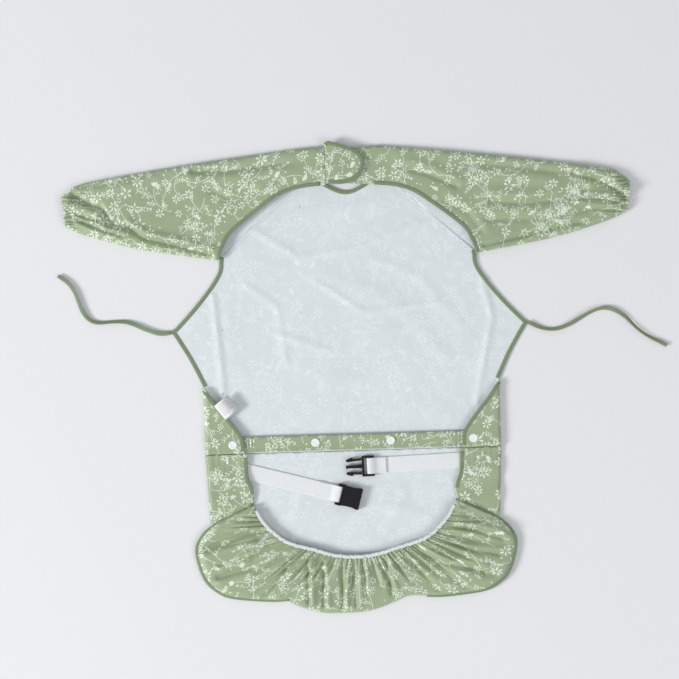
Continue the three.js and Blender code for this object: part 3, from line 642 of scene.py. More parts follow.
def stitches(line, aside, long=2.0, gap=1.0, thick=0.34):
    """Machine stitches in a row beside a 3-D line and just above it: (places, faces)."""
    step, lift = 0.5, 0.1
    up = np.array([0, 0, 1.0])
    p = np.array(resampled(line, step), float)
    p = p + np.cross(up, directions(p)) * aside + up * lift
    places, faces = [], []
    per = max(2, int(long / step))
    for start in range(1, len(p) - per - 1, per + max(1, int(gap / step))):
        a, b = p[start], p[start + per]
        way = (b - a) / max(np.linalg.norm(b - a), 1e-9)
        side = np.cross(up, way)
        faces += tube_faces(4, 4, len(places))
        for t, r in ((0.0, 0.3), (0.25, 1.0), (0.75, 1.0), (1.0, 0.3)):
            centre = a + (b - a) * t
            for s, u in ((1, 0), (0, 1), (-1, 0), (0, -1)):
                places.append(tuple(centre + side * s * thick / 2 * r + up * u * thick / 2 * r))
    return places, faces


def joined(name, materials, *groups):
    """One piece of several (places, faces), each with the material of its own number."""
    verts, all_faces, marks = [], [], []
    for number, (places, faces) in groups:
        base = len(verts)
        verts += places
        all_faces += [tuple(base + i for i in face) for face in faces]
        marks += [number] * len(faces)
    return link(name, mesh_of(name, verts, all_faces, materials, marks))


def lifted(line, height):
    """A flat line with heights added."""
    xy = np.array(line, float)
    return [tuple(q) for q in np.column_stack([xy, height(xy[:, 0], xy[:, 1])])]


def binding(name, line, height, body, node):
    """Folded tape over a cloth edge, with a row of stitches along each side."""
    thick = 1.3
    even = lifted(resampled(line, 2.5), height)
    top = [(x, y, z + thick / 2) for x, y, z in even]
    piece = joined(
        name, [trim, thread],
        (0, tape(even, BINDING, thick)),
        (1, stitches(top, BINDING / 2 - 1.1)),
        (1, stitches(top, -BINDING / 2 + 1.1)),
    )
    mount(piece, body, "binding", node)


# ---- Ties: flat tapes that leave the wing tips ----

left_route = [
    (-222.9, 61.9), (-232, 60.6), (-240, 61.2), (-248, 63.6), (-256, 67), (-264, 71), (-272, 74.6),
    (-280, 76.8), (-290, 77.4), (-300, 77.2), (-310, 76.6), (-318, 77.8), (-325, 81.6), (-330.6, 88),
    (-334.8, 96), (-338, 104.6), (-341.2, 113.4), (-345.4, 121.4), (-351, 128.6), (-357, 133.6),
    (-362, 136.8),
]
right_route = [
    (222.9, 61.9), (230.2, 58), (237.4, 54.9), (245, 52.8), (253, 52), (261, 53), (269, 55.6), (277, 59.2),
    (285, 63.6), (293, 68), (301, 72), (309, 75), (317, 76.4), (325, 75.6), (333, 72.6), (340.6, 68),
    (347.6, 62), (354, 54.8), (361, 48), (369, 42), (377.6, 37), (386.4, 32.4), (395, 27.8),
]
TIE_WIDTH = 5.0
TIE_Z = TIE_WIDTH / 2 + 0.1


def make_tie(hand, route):
    """A flat folded tape that turns a little as it goes."""
    p = np.array(resampled(smooth(route, 4), 2.0), float)
    along = np.linspace(0, 1, len(p))
    tilt = 0.75 * np.sin(along * 9.0 + 0.6) * ease(along * 6)
    ahead = directions(p)
    side = np.column_stack([-ahead[:, 1], ahead[:, 0], np.zeros(len(p))])
    ups = np.cos(tilt)[:, None] * np.array([0, 0, 1.0]) + np.sin(tilt)[:, None] * side
    centre = np.column_stack([p, np.full(len(p), TIE_Z)])
    top = [tuple(c + u * 0.6) for c, u in zip(centre, ups)]
    piece = joined(
        f"tie_tape_{hand}", [trim, thread],
        (0, tape(centre, TIE_WIDTH, 1.2, ups)),
        (1, stitches(top, 1.3)),
    )
    mount(piece, "smock", "binding", f"tie_{hand}")


make_tie("left", left_route)
make_tie("right", right_route)

# ---- Front of the smock, with its sides folded in ----

CREASE_Z = 3.6
COLUMN_Z = 7.0
PANEL_Z = 0.75
FRONT_HEM = HEM_Y + 0.4
folded_crease = [(COLUMN_X, y) for y in np.linspace(COLUMN_TOP, FRONT_HEM, 34)]
panel_folds = [
    ([(-120, 190), (-60, 150), (10, 160), (90, 190)], 0.9, 5),
    ([(-100, 60), (-20, 30), (60, 60)], 0.8, 5),
    ([(-40, 120), (20, 80), (110, 90)], 0.9, 5),
    ([(-130, 120), (-90, 90), (-80, 20)], 0.8, 5),
    ([(-170, 106), (-166.3, 64.6), (-159.8, -15.7)], 1.3, 4.5),
    ([(-161, 104), (-158, 64.6), (-152, -12)], -0.4, 5),
    ([(166.9, 115.5), (173.5, 90.2), (177.8, 68.8), (165.9, 15.5), (155.3, -36.7)], 1.5, 4.5),
    ([(-130, 160), (-60, 205), (40, 216)], 0.9, 9),
    ([(120, 20), (60, 90), (-30, 130)], 0.7, 11),
    ([(-120, -20), (-70, 60), (-40, 140)], 0.6, 12),
    ([(-60, 10), (20, -10), (110, 30)], 0.6, 10),
    ([(30, 150), (90, 120), (140, 60)], 0.7, 8),
]


def panel_height(x, y):
    side = np.abs(x)
    quiet = ease((y - (HEM_Y + 26)) / 24)
    calm = ease((WING_X - side) / 25) * 0.7 + 0.3
    bumps = folds(x, y, panel_folds) + 0.45 * (ripple(x, y, 90, 4) + 0.9)
    rest = PANEL_Z + quiet * calm * np.maximum(bumps, 0)
    near_crease = ease((COLUMN_TOP + 10 - y) / 20)
    roll = 1 - rolled(COLUMN_X - side, 4.0)
    return rest + near_crease * roll * (CREASE_Z - PANEL_Z)


def flap_height(x, y):
    side = np.abs(x)
    wave = 0.3 * ripple(x, y, 34, 8)
    puckers = 0.45 * np.sin(side / 2.2) * ease((HEM_Y + 18 - y) / 16)
    up = rolled(COLUMN_X - side, 4.0)
    return CREASE_Z + up * (COLUMN_Z - CREASE_Z + 0.25 * (wave + puckers))


def flat_shape(height):
    return lambda x, y: (x, y, height(x, y))


def folded_panel(name, body, node, outline, flap, garden, heights):
    """A panel with its lining up, and a printed flap folded in over it at each side."""
    layers = [cloth_layer(outline, near_outline(garden, outline), flat_shape(heights[0]))]
    for _, side in SIDES:
        edge = mirrored(flap, side)
        shapes = near_outline(garden, edge)
        layers.append(cloth_layer(edge, shapes, flat_shape(heights[1]), MEDIUM, down=True))
    panel = sewn(name, layers, LINING_OUT, rim=2)
    mount(panel, body, "lining", node)
    return panel


def printed_piece(name, outline, garden, height):
    """A small piece of one layer with its print up."""
    layer = cloth_layer(outline, near_outline(garden, outline), flat_shape(height), FINE)
    return sewn(name, [layer], PRINT_OUT)


raglan_foot, raglan_top = (ARMPIT_X - 1, ARMPIT_Y), (NECK_HALF, COLLAR_LOW + 16)
half_outline = (
    resampled([raglan_top, (ARMPIT_X - 1.2, ARMPIT_Y - 0.4)], 4)
    + resampled(armhole_edge, 3) + resampled(wing_edge, 3)[1:-1] + folded_crease
)
hem_line = [(x, FRONT_HEM) for x in np.linspace(COLUMN_X, -COLUMN_X, 110)][1:-1]
flap_foot = [(x, FRONT_HEM) for x in np.linspace(COLUMN_EDGE + 3, COLUMN_X, 18)][:-1]
front = folded_panel(
    "smock_front", "smock", "front_panel",
    resampled(neckline, 3)[1:-1] + half_outline + hem_line + mirrored(half_outline, -1)[::-1],
    folded_crease[:1] + resampled(folded_edge[1:-1], 2.5) + flap_foot + folded_crease[:0:-1],
    motifs(-235, 235, -110, 275, 11), (panel_height, flap_height),
)

# ---- Raglan sleeves ----

EDGE_Z = 4.8
TOP_Z = 9.2
FOLD_LONG = 9  # how far the points start and end lie to each side of the sleeve's fold line
SLEEVE_MIDDLE = (0.21, 0.005)  # across the sleeve and above the table, in metres
sleeve_folds = {
    -1: [
        *crease(
            [(-340, 235), (-329, 228), (-307, 220), (-299, 208), (-296, 200), (-274, 195)], 5.5, 4.2, -9,
        ),
        *crease([(-274, 195), (-252, 180), (-215, 170.5), (-171, 158)], 4.6, 2.8, 7),
        *crease([(-336, 213), (-322, 207), (-306, 203)], 3.0, 1.9, -4),
        *crease([(-334, 205), (-318, 198), (-300, 190), (-280, 184)], 3.2, 2.0, -4.5),
        *crease([(-330, 246), (-280, 252), (-236, 262)], 2.0, 3.0, -8),
        *crease([(-190, 262), (-140, 262), (-92, 268), (-44, 270)], 3.6, 4.0, -10),
        *crease([(-168, 238), (-140, 224), (-112, 238)], 2.0, 4.5, 9),
    ],
    1: [
        *crease([(284, 245), (312, 238), (334, 226), (348, 214)], 5.0, 3.8, 8),
        *crease([(292, 214), (314, 214), (338, 208)], 3.0, 2.0, 5),
        *crease([(288, 204), (314, 200), (340, 198)], 2.8, 2.0, 5),
        *crease([(180, 214), (224, 210), (262, 214), (300, 226)], 3.4, 4.2, 10),
        *crease([(176, 192), (240, 190), (300, 200)], 2.6, 4.0, 9),
        *crease([(170, 158), (230, 172), (290, 184)], 4.2, 2.6, -6),
        *crease([(64, 262), (104, 250), (138, 234)], 3.2, 3.6, 9),
        *crease([(150, 262), (206, 256), (262, 248)], 2.2, 4.2, -11),
        *crease([(124, 216), (152, 200), (168, 176)], 1.2, 3.6, 8),
    ],
}


CUFF_PLEAT = 4.3  # from one pleat of the cuff to the next


def sleeve_shape(side, upper):
    """The shape of one layer of a sleeve: where each place of the flat outline goes."""
    fold_up, fold_down = mirrored(sleeve_top, side), mirrored(sleeve_low, side)

    def shape(x, y):
        far = side * x
        d = np.minimum(away(x, y, fold_up), away(x, y, fold_down))
        up = rolled(d, 7.0)
        cuff = ease((far - (HALF_SPAN - 40)) / 34)
        fan = y + 0.12 * (far - HALF_SPAN) * np.sin(y * 0.21)
        uneven = 1.3 * np.sin(y * 0.5)
        pleat = np.sin(fan * CYCLE / CUFF_PLEAT + uneven) * cuff * up
        collar = ease((74 - far) / 26) if side > 0 else np.zeros_like(x)
        if upper:
            bent = folds(x, y, sleeve_folds[side])
            wave = 0.7 * ripple(x, y, 60, 20 + side)
            quiet = 1 - ease((95 - far) / 45)
            fine = 0.12 * ripple(x, y, 15, 40 + side)
            z = EDGE_Z + up * (TOP_Z - EDGE_Z + quiet * (bent + wave + fine) + 2.0 * pleat)
            z = np.maximum(z, 3.2) - cuff * up * 1.6 - collar * up * 3.1
        else:
            z = EDGE_Z - up * (EDGE_Z - 0.7 - 0.1 * ripple(x, y, 30, 3))
        waist = np.exp(-(((far - (HALF_SPAN - 8)) / 3.0) ** 2)) * cuff
        middle = (CUFF_TOP + CUFF_LOW) / 2
        narrow = 1 - 0.035 * waist
        end = ease((far - (HALF_SPAN - 12)) / 10)
        frill = 1.2 * np.sin(y * CYCLE / CUFF_PLEAT + uneven) * end
        return x + side * frill, middle + (y - middle) * narrow, z

    return shape


end_arc = smooth([
    (0, COLLAR_LOW + 0.4), (-12, COLLAR_LOW + 5), (-19.5, COLLAR_LOW + 14), (-21, COLLAR_LOW + 24),
    (-17, COLLAR_LOW + 36), (-8, COLLAR_LOW + 43), (4, TOP - 8.8),
], 4)
around = resampled(sleeve_top, MEDIUM)
under_arm = resampled(sleeve_low, MEDIUM)
around += resampled([around[-1], under_arm[-1]], 1.4)[1:-1] + under_arm[:0:-1]
for name, side in SIDES:
    back = resampled(back_edge, MEDIUM)
    if side > 0:
        under_collar = resampled([(30, COLLAR_LOW - 1.5), (6, COLLAR_LOW + 0.2)], MEDIUM)
        back = [p for p in back if p[0] > 33] + under_collar
        collar = resampled(end_arc, MEDIUM)[1:-1] + [(12, TOP - 8.6), (21, TOP - 8.5)]
    else:
        collar = resampled([(25.2, COLLAR_LOW - 1), (25.2, TOP - 5.5)], MEDIUM)
        back = [p for p in back if p[0] > 27]
    seam = resampled([(ARMPIT_X - 0.6, ARMPIT_Y + 0.4), (NECK_HALF + 0.4, COLLAR_LOW + 16.3)], 4)
    upper = mirrored(back + collar + around, side)
    lower = mirrored(seam + [(36, TOP - 22)] + around, side)
    garden = motifs(*sorted((side * -30, side * 365)), 140, 300, 31 + side)
    shapes = near_outline(garden, upper)
    layers = [
        cloth_layer(upper, shapes, sleeve_shape(side, True), MEDIUM, beyond=HALF_SPAN - 38),
        cloth_layer(lower, shapes, sleeve_shape(side, False), 3.4, down=True),
    ]
    sleeve = sewn(f"raglan_sleeve_{name}", layers, PRINT_OUT)
    start, end = [(side * x * MM, *SLEEVE_MIDDLE) for x in (FOLD_X - FOLD_LONG, FOLD_X + FOLD_LONG)]
    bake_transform(sleeve)
    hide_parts(f"shoulder_{name}", f"sleeve_{name}", f"cuff_{name}", f"cuff_elastic_{name}")

# ---- Neck tab ----

TAB_ROOT = -(NECK_HALF - 16) + 0.4
TAB_END = TAB_ROOT + 49
TAB_LAP = 5.0  # the tab's root runs on under the left shoulder
TAB_Y, TAB_HINGE_Z = 0.267, 0.0109  # where the points start and end lie at the tab's root, in metres
tab_edge = smooth([
    (TAB_ROOT, TOP - 3), (TAB_ROOT + 5, TOP), (TAB_ROOT + 13, TOP - 2.2), (TAB_END - 16, TOP - 9),
    (TAB_END - 6, TOP - 15), (TAB_END - 0.5, TOP - 23), (TAB_END, TOP - 31), (TAB_END - 5, COLLAR_LOW + 11),
    (TAB_END - 14, COLLAR_LOW + 4), (TAB_END - 27, COLLAR_LOW), (TAB_ROOT, COLLAR_LOW + 1),
], 4)


def tab_height(x, y):
    top = 9.2 + ease((x - TAB_ROOT) / 9) * (0.35 + 0.25 * ripple(x, y, 24, 5))
    return top - 0.75 * ease((TAB_ROOT + 1.6 - x) / 1.2)


tab_tail = [
    (TAB_ROOT - 0.4, COLLAR_LOW + 1.2), (TAB_ROOT - TAB_LAP, COLLAR_LOW + 2.5),
    (TAB_ROOT - TAB_LAP, TOP - 10.5), (TAB_ROOT - 0.4, TOP - 9.5),
]
tab_outline = resampled(tab_edge, 1.8)[:-1] + resampled(tab_tail, 1.8)
tab = printed_piece("neck_tab_cloth", tab_outline, motifs(-40, 40, 230, 300, 51), tab_height)
start, end = [(x * MM, TAB_Y, TAB_HINGE_Z) for x in (TAB_ROOT - 1.4, TAB_ROOT + 1.4)]
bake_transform(tab)
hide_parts("neck_tab")

# ---- Bindings ----

PROUD = 0.35  # from a cloth's height up to the middle of the binding on its edge


def raised(height, by):
    """The same heights, a little higher."""
    return lambda x, y: height(x, y) + by


on_panel = raised(panel_height, PROUD)
on_flap = raised(flap_height, PROUD)
for name, side in SIDES:
    def on_sleeve(x, y, side=side):
        return sleeve_shape(side, True)(x, y)[2] + 0.3

    inner = offset(back_edge, -ONTO)
    inner = [p for p in inner if p[0] > (34 if side > 0 else 29) and p[1] > ARMPIT_Y + 1]
    binding(f"back_edge_{name}", mirrored(inner, side), on_sleeve, "smock", f"back_binding_{name}")
    outer = offset([(ARMPIT_X - 2, ARMPIT_Y + 4)] + armhole_edge + wing_edge[1:], -ONTO)
    binding(f"side_edge_{name}", mirrored(outer, side), on_panel, "smock", f"side_binding_{name}")
    inward = offset(folded_edge[1:-1], ONTO)
    binding(f"column_edge_{name}", mirrored(inward, side), on_flap, "smock", f"column_binding_{name}")

for name, side in SIDES:
    line = resampled(mirrored([raglan_foot, raglan_top], side), 3)[1:]
    seam_tape = joined(
        f"raglan_seam_{name}", [lining, white_thread],
        (0, tape(lifted(line, raised(panel_height, 0.1)), 3.6, 0.8, flat=0.4)),
        (1, stitches(lifted(line, raised(panel_height, 0.45)), 1.2, 2.2, 1.2, 0.24)),
    )
    mount(seam_tape, "smock", "lining")

binding("neck_edge", offset(neckline[3:-3], -ONTO), on_panel, "smock", "neck_binding")
binding(
    "tab_edge", offset(tab_edge[:-1], -ONTO),
    raised(tab_height, 0.3), "neck_tab", "tab_binding",
)

# ---- Waistband and snaps ----

BAND_Z = 5.0
BAND_END = COLUMN_EDGE + 9
BAND_LOW = HEM_Y + 1.5


def band_height(x, y):
    drawn = np.exp(-(((np.abs(x) - (COLUMN_EDGE - 4)) / 6.5) ** 2))
    gather = drawn * 0.95 * np.sin(np.abs(x) * CYCLE / 4.5)
    return BAND_Z - 0.1 + gather + 0.12 * ripple(x, y, 26, 9)


band_corners = [(-BAND_END, BAND_LOW), (BAND_END, BAND_LOW), (BAND_END, WAIST_TOP), (-BAND_END, WAIST_TOP)]
band_outline = resampled([*band_corners, band_corners[0]], 3)[:-1]
garden = motifs(-140, 140, HEM_Y - 10, WAIST_TOP + 10, 61, 24)
band = printed_piece("waistband_cloth", band_outline, garden, band_height)
mount(band, "smock", "print", "skirt_waistband")
seams = []
for y in (HEM_Y + 3.2, WAIST_TOP - 1.8, HEM_Y + 5.6):
    line = [(x, y) for x in np.linspace(-BAND_END + 2, BAND_END - 2, 120)]
    seams.append((0, stitches(lifted(line, raised(band_height, 0.05)), 0)))
band_stitches = joined("waistband_stitches", [thread], *seams)
mount(band_stitches, "smock", "print")


def lathe(profile, centre, segments=40):
    """A turned shape about a vertical axis: (places, faces)."""
    cx, cy, cz = centre
    places = []
    for r, z in profile:
        for k in range(segments):
            a = 2 * math.pi * k / segments
            places.append((cx + r * math.cos(a), cy + r * math.sin(a), cz + z))
    return places, tube_faces(len(profile), segments)


CAP = [
    (4.6, 0.0), (5.15, 0.1), (5.35, 0.35), (5.3, 0.65), (5.0, 0.95), (4.4, 1.15),
    (3.6, 1.2), (3.2, 1.05), (2.9, 0.98), (1.6, 1.02), (0.5, 1.05),
]
for where in SNAPS:
    low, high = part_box(f"snap_cap_{where}")
    centre = ((low[0] + high[0]) / 2 / MM, (low[1] + high[1]) / 2 / MM, low[2] / MM)
    cap = joined(f"cap_{where}", [white_plastic], (0, lathe(CAP, centre)))
    mount(cap, "smock", "snap", f"snap_cap_{where}")

# ---- Skirt panel with its sides folded in ----

LOBE_TOP = 24  # how many of the lobe's points run along the foot of the flap
SKIRT_COLUMN_Z = 4.85
SKIRT_CREASE_Z = 2.7
SKIRT_HEM = HEM_Y - 0.4
CREASE_LONG = 87.6
CREASE_LEAN = 4
skirt_crease = [(COLUMN_X - CREASE_LEAN * t, SKIRT_HEM - CREASE_LONG * t) for t in np.linspace(0, 1, 36)]


def crease_x(y):
    return COLUMN_X - CREASE_LEAN * np.clip((SKIRT_HEM - y) / CREASE_LONG, 0, 1)


def crease_z(y):
    """Height of the skirt's folded edge, which comes down to the cloth below where the rim starts."""
    return PANEL_Z + ease((y - (RIM_TOP - 22)) / 6) * (SKIRT_CREASE_Z - PANEL_Z)


def skirt_height(x, y):
    side = np.abs(x)
    quiet = ease((135 - side) / 25) * ease((HEM_Y - 6 - y) / 20) * ease((y + 222) / 22)
    lines = [
        ([(-70, -100), (-60, -130), (-75, -170)], 0.8, 7),
        ([(50, -100), (62, -150), (40, -190)], 0.8, 8),
        ([(-20, -175), (30, -160), (90, -175)], 0.7, 7),
    ]
    straps_off = ease((-128 - y) / 18) * ease((y + 225) / 20)
    bumps = folds(x, y, lines) + 0.3 * (ripple(x, y, 60, 14) + 0.9)
    rest = PANEL_Z + quiet * straps_off * np.maximum(bumps, 0)
    roll = 1 - rolled(crease_x(y) - side, 3.2)
    return rest + roll * (crease_z(y) - PANEL_Z)


def skirt_flap_height(x, y):
    side = np.abs(x)
    low = crease_z(y)
    pleats = 0.5 * np.sin(side * CYCLE / 7.0) * ease((y - (HEM_Y - 30)) / 24)
    sag = 0.9 * np.sin((y - 0.25 * side) * CYCLE / 34) + 0.3 * ripple(x, y, 30, 15)
    clear = ease(away(side, y, lobe[:LOBE_TOP]) / 9)
    level = 3.4 + clear * (SKIRT_COLUMN_Z - 3.4 + np.minimum(sag, 0.9) + pleats)
    return low + rolled(crease_x(y) - side, 3.2) * (np.maximum(level, low) - low)


right_side = skirt_crease + [p for p in resampled(lobe, 3) if p[1] < RIM_TOP - 24]
inset_bottom = [(x, y + 2.2) for x, y in resampled(bulge, 3)[1:-1]]
top_line = [(x, SKIRT_HEM) for x in np.linspace(-COLUMN_X, COLUMN_X, 110)][1:-1]
flap_head = [(x, SKIRT_HEM) for x in np.linspace(COLUMN_X, COLUMN_EDGE, 18)][1:]
flap_foot = [q for q in offset(lobe, -0.6)[1:] if q[0] < COLUMN_X - 6 and q[1] > RIM_TOP - 24]
shared = [p for p in skirt_crease if p[1] > RIM_TOP - 21]
skirt = folded_panel(
    "skirt_cloth", "skirt", "skirt_panel",
    right_side + inset_bottom + mirrored(right_side, -1)[::-1] + top_line,
    shared[::-1] + flap_head + resampled([*skirt_edge[1:-2], *flap_foot], MEDIUM),
    motifs(-215, 215, -300, -85, 71), (skirt_height, skirt_flap_height),
)
for name, side in SIDES:
    inward = offset(skirt_edge[1:-3], ONTO)
    binding(
        f"skirt_edge_{name}", mirrored(inward, side),
        raised(skirt_flap_height, PROUD), "skirt", f"skirt_binding_{name}",
    )

# ---- Gathered rim ----


def at_share(line, share):
    """The places at given shares of a line of evenly spread points."""
    i = share * (len(line) - 1)
    return np.stack([np.interp(i, np.arange(len(line)), line[:, k]) for k in range(2)], 1)


rim_seam = np.array(resampled(rim_outer, 1.5))
rim_mouth = np.array(resampled(elastic, 1.0))
ALONG = 660.0
ACROSS = 80.0
rim_valleys = [
    *crease([(-131.5, -190.5), (-174.5, -205.3), (-195, -213)], 5.0, 3.4, 8),
    *crease([(-138.7, -219), (-169.1, -228.6)], 3.4, 2.8, 7),
    *crease([(-131.8, -234.3), (-173.4, -244.7)], 3.2, 2.8, 7),
    *crease([(-88, -238), (-104, -262), (-118, -272)], 3.8, 3.4, 8),
    *crease([(77.7, -219.1), (100.9, -232.4), (144.4, -243.3), (157.9, -248.2)], 5.0, 3.6, 8),
    *crease([(118, -188), (150, -196), (182, -206)], 4.4, 3.2, 8),
    *crease([(104, -206), (140, -218), (178, -226)], 3.2, 2.6, 6),
    *crease([(-61.6, -228), (-61.6, -282)], 3.6, 2.4, 6),
    *crease([(-42.7, -228), (-42.7, -286)], 3.8, 2.4, 6),
    *crease([(-19, -228), (-19, -287)], 3.8, 2.4, 6),
    *crease([(-2.2, -228), (-2.2, -285)], 3.2, 2.4, 6),
    *crease([(35, -226), (42, -270)], 3.6, 2.6, 7),
]


def pleated(phase):
    """Round ridges between sharp valleys, from -1 to 1."""
    return 2 * np.abs(np.sin(phase / 2)) ** 0.8 - 1


def rim_shape(u, v):
    """u runs along the cloth, v from the seam (0) to the elastic (ACROSS)."""
    s, t = u / ALONG, v / ACROSS
    outer, inner = at_share(rim_seam, s), at_share(rim_mouth, s)
    wander = 0.006 * np.sin(s * 61) + 0.004 * np.sin(s * 131 + 1)
    fine = np.sin((s + wander * 0.4) * CYCLE * 74 + 2.0 * np.sin(s * 40))
    mid = pleated((s + wander) * CYCLE * 33 + 1.6 * np.sin(s * 27 + 1))
    wide = pleated((s + wander) * CYCLE * 14 + 1.2 * np.sin(s * 17 + 2))
    ends = ease(s / 0.04) * ease((1 - s) / 0.04)
    tight = ease((t - 0.62) / 0.3)
    middle = ease((t - 0.2) / 0.4) * (1 - 0.55 * tight)
    loose = ease(t / 0.14) * (1 - ease((t - 0.6) / 0.4))
    pull = t + 0.012 * mid * middle
    xy = outer + (inner - outer) * pull[:, None]
    x, y = xy[:, 0], xy[:, 1]
    rise = rolled(t * ACROSS, 9.0)
    z = 1.5 + rise * 7.4 - 1.1 * tight
    valleys = folds(x, y, rim_valleys) * loose
    z = z + ends * rise * (fine * tight + 2.3 * mid * middle + 1.5 * wide * loose + valleys)
    return x, y, np.maximum(z, 1.45)


rim_edge = (
    [(u, 0.0) for u in np.linspace(0, ALONG, 260)]
    + [(ALONG, v) for v in np.linspace(0, ACROSS, 30)][1:]
    + [(u, ACROSS) for u in np.linspace(ALONG, 0, 420)][1:]
    + [(0.0, v) for v in np.linspace(ACROSS, 0, 30)][1:-1]
)
garden = near_outline(motifs(0, ALONG, 0, ACROSS, 81, 31), rim_edge)
rim_layer = cloth_layer(rim_edge, garden, rim_shape, 1.9, down=True)
ruffle = sewn("rim_cloth", [rim_layer], PRINT_OUT)
mount(ruffle, "skirt", "print", "rim_ruffle")

for name, side in SIDES:
    line = resampled(offset(lobe, -1.6)[2:], 2.5)
    piece = joined(
        f"rim_edge_{name}", [trim, thread],
        (0, tape([(side * x, y, 3.3) for x, y in line], 6.0, 5.6, flat=0.8)),
        (1, stitches([(side * x, y, 6.1) for x, y in line], 1.2)),
    )
    mount(piece, "skirt", "binding", f"rim_binding_{name}")

ex, ey, ez = rim_shape(np.linspace(0.012, 0.988, 460) * ALONG, np.full(460, ACROSS - 2.0))
ez = np.convolve(np.pad(ez, 12, mode="edge"), np.ones(25) / 25, "valid") + 0.7
rim_band = joined(
    "rim_elastic_band", [rubber, white_thread],
    (0, tape(np.column_stack([ex, ey, ez + 0.1]), 4.2, 1.4)),
    (1, stitches([(a, b, c + 0.74) for a, b, c in zip(ex, ey, ez)], -1.2, 2.2, 1.2, 0.24)),
)
mount(rim_band, "skirt", "elastic", "rim_elastic")

# ---- Chair straps ----

WEB_Z = 1.8
BAR_R = 2.3
BAR_Z = 4.1
SEWN_Z = 3.66  # top of the webbing where it is sewn back
HIDDEN = 14  # webbing under the column, behind the root
LEFT_REACH, RIGHT_REACH = 112.0, 111.0
left_root, right_root = (-127.4, -116.4), (130.0, -108.2)


def strap(hand, root, turn, reach, tail, material):
    """Webbing from under the column, round its buckle bar and sewn back onto itself."""
    turns = np.linspace(-QUARTER, QUARTER, 13)
    bend = [(reach + BAR_R * math.cos(a), BAR_Z + BAR_R * math.sin(a)) for a in turns]
    side_view = [(x, WEB_Z) for x in np.linspace(-HIDDEN, reach - 0.5, 60)] + bend
    side_view += [(reach - 3.5, BAR_Z + BAR_R), (reach - 6.5, 4.9), (reach - 9.5, 3.25)]
    side_view += [(x, 3.12) for x in np.linspace(reach - 12, reach - tail, 8)]
    c, s = math.cos(turn), math.sin(turn)

    def at(x, y, z):
        return root[0] + c * x - s * y, root[1] + s * x + c * y, z

    line = [at(x, 0, z) for x, z in side_view]
    ups = [(-c * dz, -s * dz, dx) for dx, dz in directions(side_view)]
    rows = []
    for y in (-8.3, 8.3):
        along = [at(x, 0, SEWN_Z) for x in np.linspace(reach - tail + 1, reach - 12, 20)]
        rows.append((1, stitches(along, y)))
    for x in (reach - tail + 1.5, reach - 13):
        rows.append((1, stitches([at(x, y, SEWN_Z) for y in np.linspace(-8.5, 8.5, 16)], 0)))
    webbing = tape(line, 19.8, 1.0, ups, sides=20, flat=0.35)
    piece = joined(f"chair_strap_{hand}", [material, white_thread], (0, webbing), *rows)
    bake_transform(piece)
    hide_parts(f"strap_anchor_{hand}", f"strap_{hand}")


strap("left", left_root, LEFT_TURN, LEFT_REACH, 30, web_left)
strap("right", right_root, RIGHT_TURN, RIGHT_REACH, 22, web_right)

# ---- Care label: generic grey lines, no words ----

label_low, label_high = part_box("care_label")
lx, ly = (label_low[0] + label_high[0]) / 2 / MM, (label_low[1] + label_high[1]) / 2 / MM
LABEL_Z = label_low[2] / MM + 0.5
LABEL_TURN = math.radians(38)


def label_place(a, b, z):
    x, y = turned([(a, b)], lx, ly, LABEL_TURN)[0]
    return x, y, z + 0.5 * math.sin((b + 11) / 22 * 3.0)


def label_patch(a0, a1, b0, b1, z, thick, n=8):
    """A thin bent rectangle: (places, faces)."""
    places = []
    for layer in (z, z + thick):
        for j in range(n + 1):
            b = b0 + (b1 - b0) * j / n
            places += [label_place(a0, b, layer), label_place(a1, b, layer)]
    faces = []
    half = 2 * (n + 1)
    for j in range(n):
        q = 2 * j
        faces.append((q, q + 2, q + 3, q + 1))
        faces.append((half + q, half + q + 1, half + q + 3, half + q + 2))
        faces.append((q, half + q, half + q + 2, q + 2))
        faces.append((q + 1, q + 3, half + q + 3, half + q + 1))
    faces.append((0, 1, half + 1, half))
    faces.append((2 * n, half + 2 * n, half + 2 * n + 1, 2 * n + 1))
    return places, faces


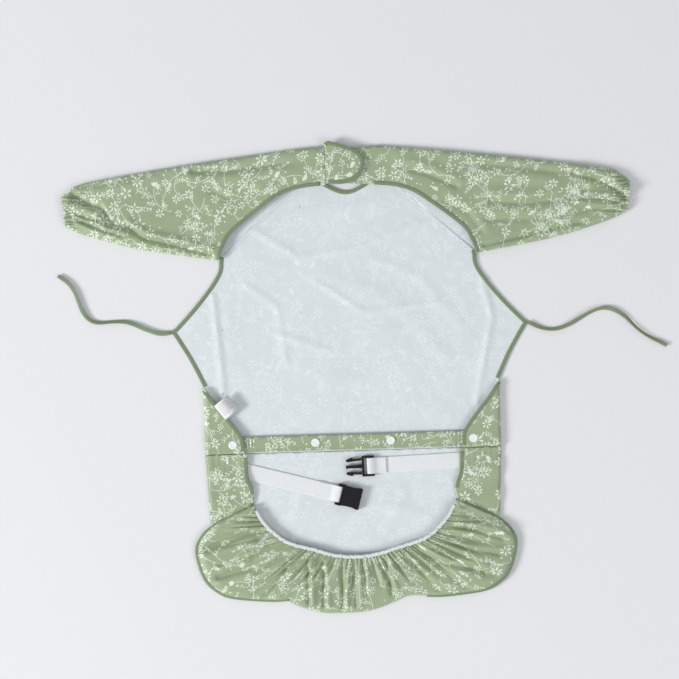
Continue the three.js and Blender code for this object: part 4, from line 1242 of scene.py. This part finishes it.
lines = []
rng = random.Random(5)
for k in range(7):
    row = 7.5 - 2.4 * k
    end = -8.5 + rng.uniform(9, 16.5)
    lines.append((1, label_patch(-8.5, end, row, row + 0.7, LABEL_Z + 0.31, 0.06, 1)))
satin_patch = label_patch(-11, 11, -11.2, 11.2, LABEL_Z, 0.3)
tag = joined("label_cloth", [satin, label_ink], (0, satin_patch), *lines)
mount(tag, "smock", "label", "care_label")

# ---- Finish of the pieces that keep their shape ----


def dress(nodes, material, bevel=0.0):
    """A new finish, and rounded edges, for pieces of the frame."""
    for node in nodes:
        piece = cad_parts[node]
        piece.data.materials.clear()
        piece.data.materials.append(material)
        if bevel:
            edges = piece.modifiers.new("rounding", "BEVEL")
            edges.width = bevel * MM
            edges.segments = 2
            edges.limit_method = "ANGLE"
            edges.angle_limit = math.radians(35)


dress([f"snap_{kind}_{where}" for where in SNAPS for kind in ("back", "stud", "socket")], white_plastic)
dress(["buckle_socket", "buckle_plug", "latch_arm_upper", "latch_arm_lower"], black_plastic, 0.45)
dress(["hook_patch", "loop_patch"], pile)
dress(["waistband_end_left", "waistband_end_right"], prints)

# ---- Floor and light ----

FLOOR = 4.0  # metres from the middle to each side
floor_mesh = bpy.data.meshes.new("floor")
floor_corners = [(-FLOOR, -FLOOR, 0), (FLOOR, -FLOOR, 0), (FLOOR, FLOOR, 0), (-FLOOR, FLOOR, 0)]
floor_mesh.from_pydata(floor_corners, [], [(0, 1, 2, 3)])
floor = link("floor", floor_mesh)
floor.location.z = -0.0003
ground = plastic("floor_paper", (0.80, 0.80, 0.81), 0.9)
floor_mesh.materials.append(ground)

world = bpy.data.worlds.new("world")
world.use_nodes = True
world.node_tree.nodes["Background"].inputs["Color"].default_value = (0.93, 0.96, 1.0, 1)
world.node_tree.nodes["Background"].inputs["Strength"].default_value = 0.50
bpy.context.scene.world = world
bpy.context.scene.view_settings.view_transform = "Standard"


def area_light(name, place, size, power):
    """A square light that shines at the middle of the garment."""
    data = bpy.data.lights.new(name, "AREA")
    data.shape = "SQUARE"
    data.size = size
    data.energy = power
    light = bpy.data.objects.new(name, data)
    light.location = place
    light.rotation_euler = (-Vector(place)).to_track_quat("-Z", "Y").to_euler()
    bpy.context.collection.objects.link(light)


area_light("key", (-4.4, -1.4, 2.6), 1.5, 215)
area_light("fill", (2.6, -2.0, 3.2), 2.4, 45)
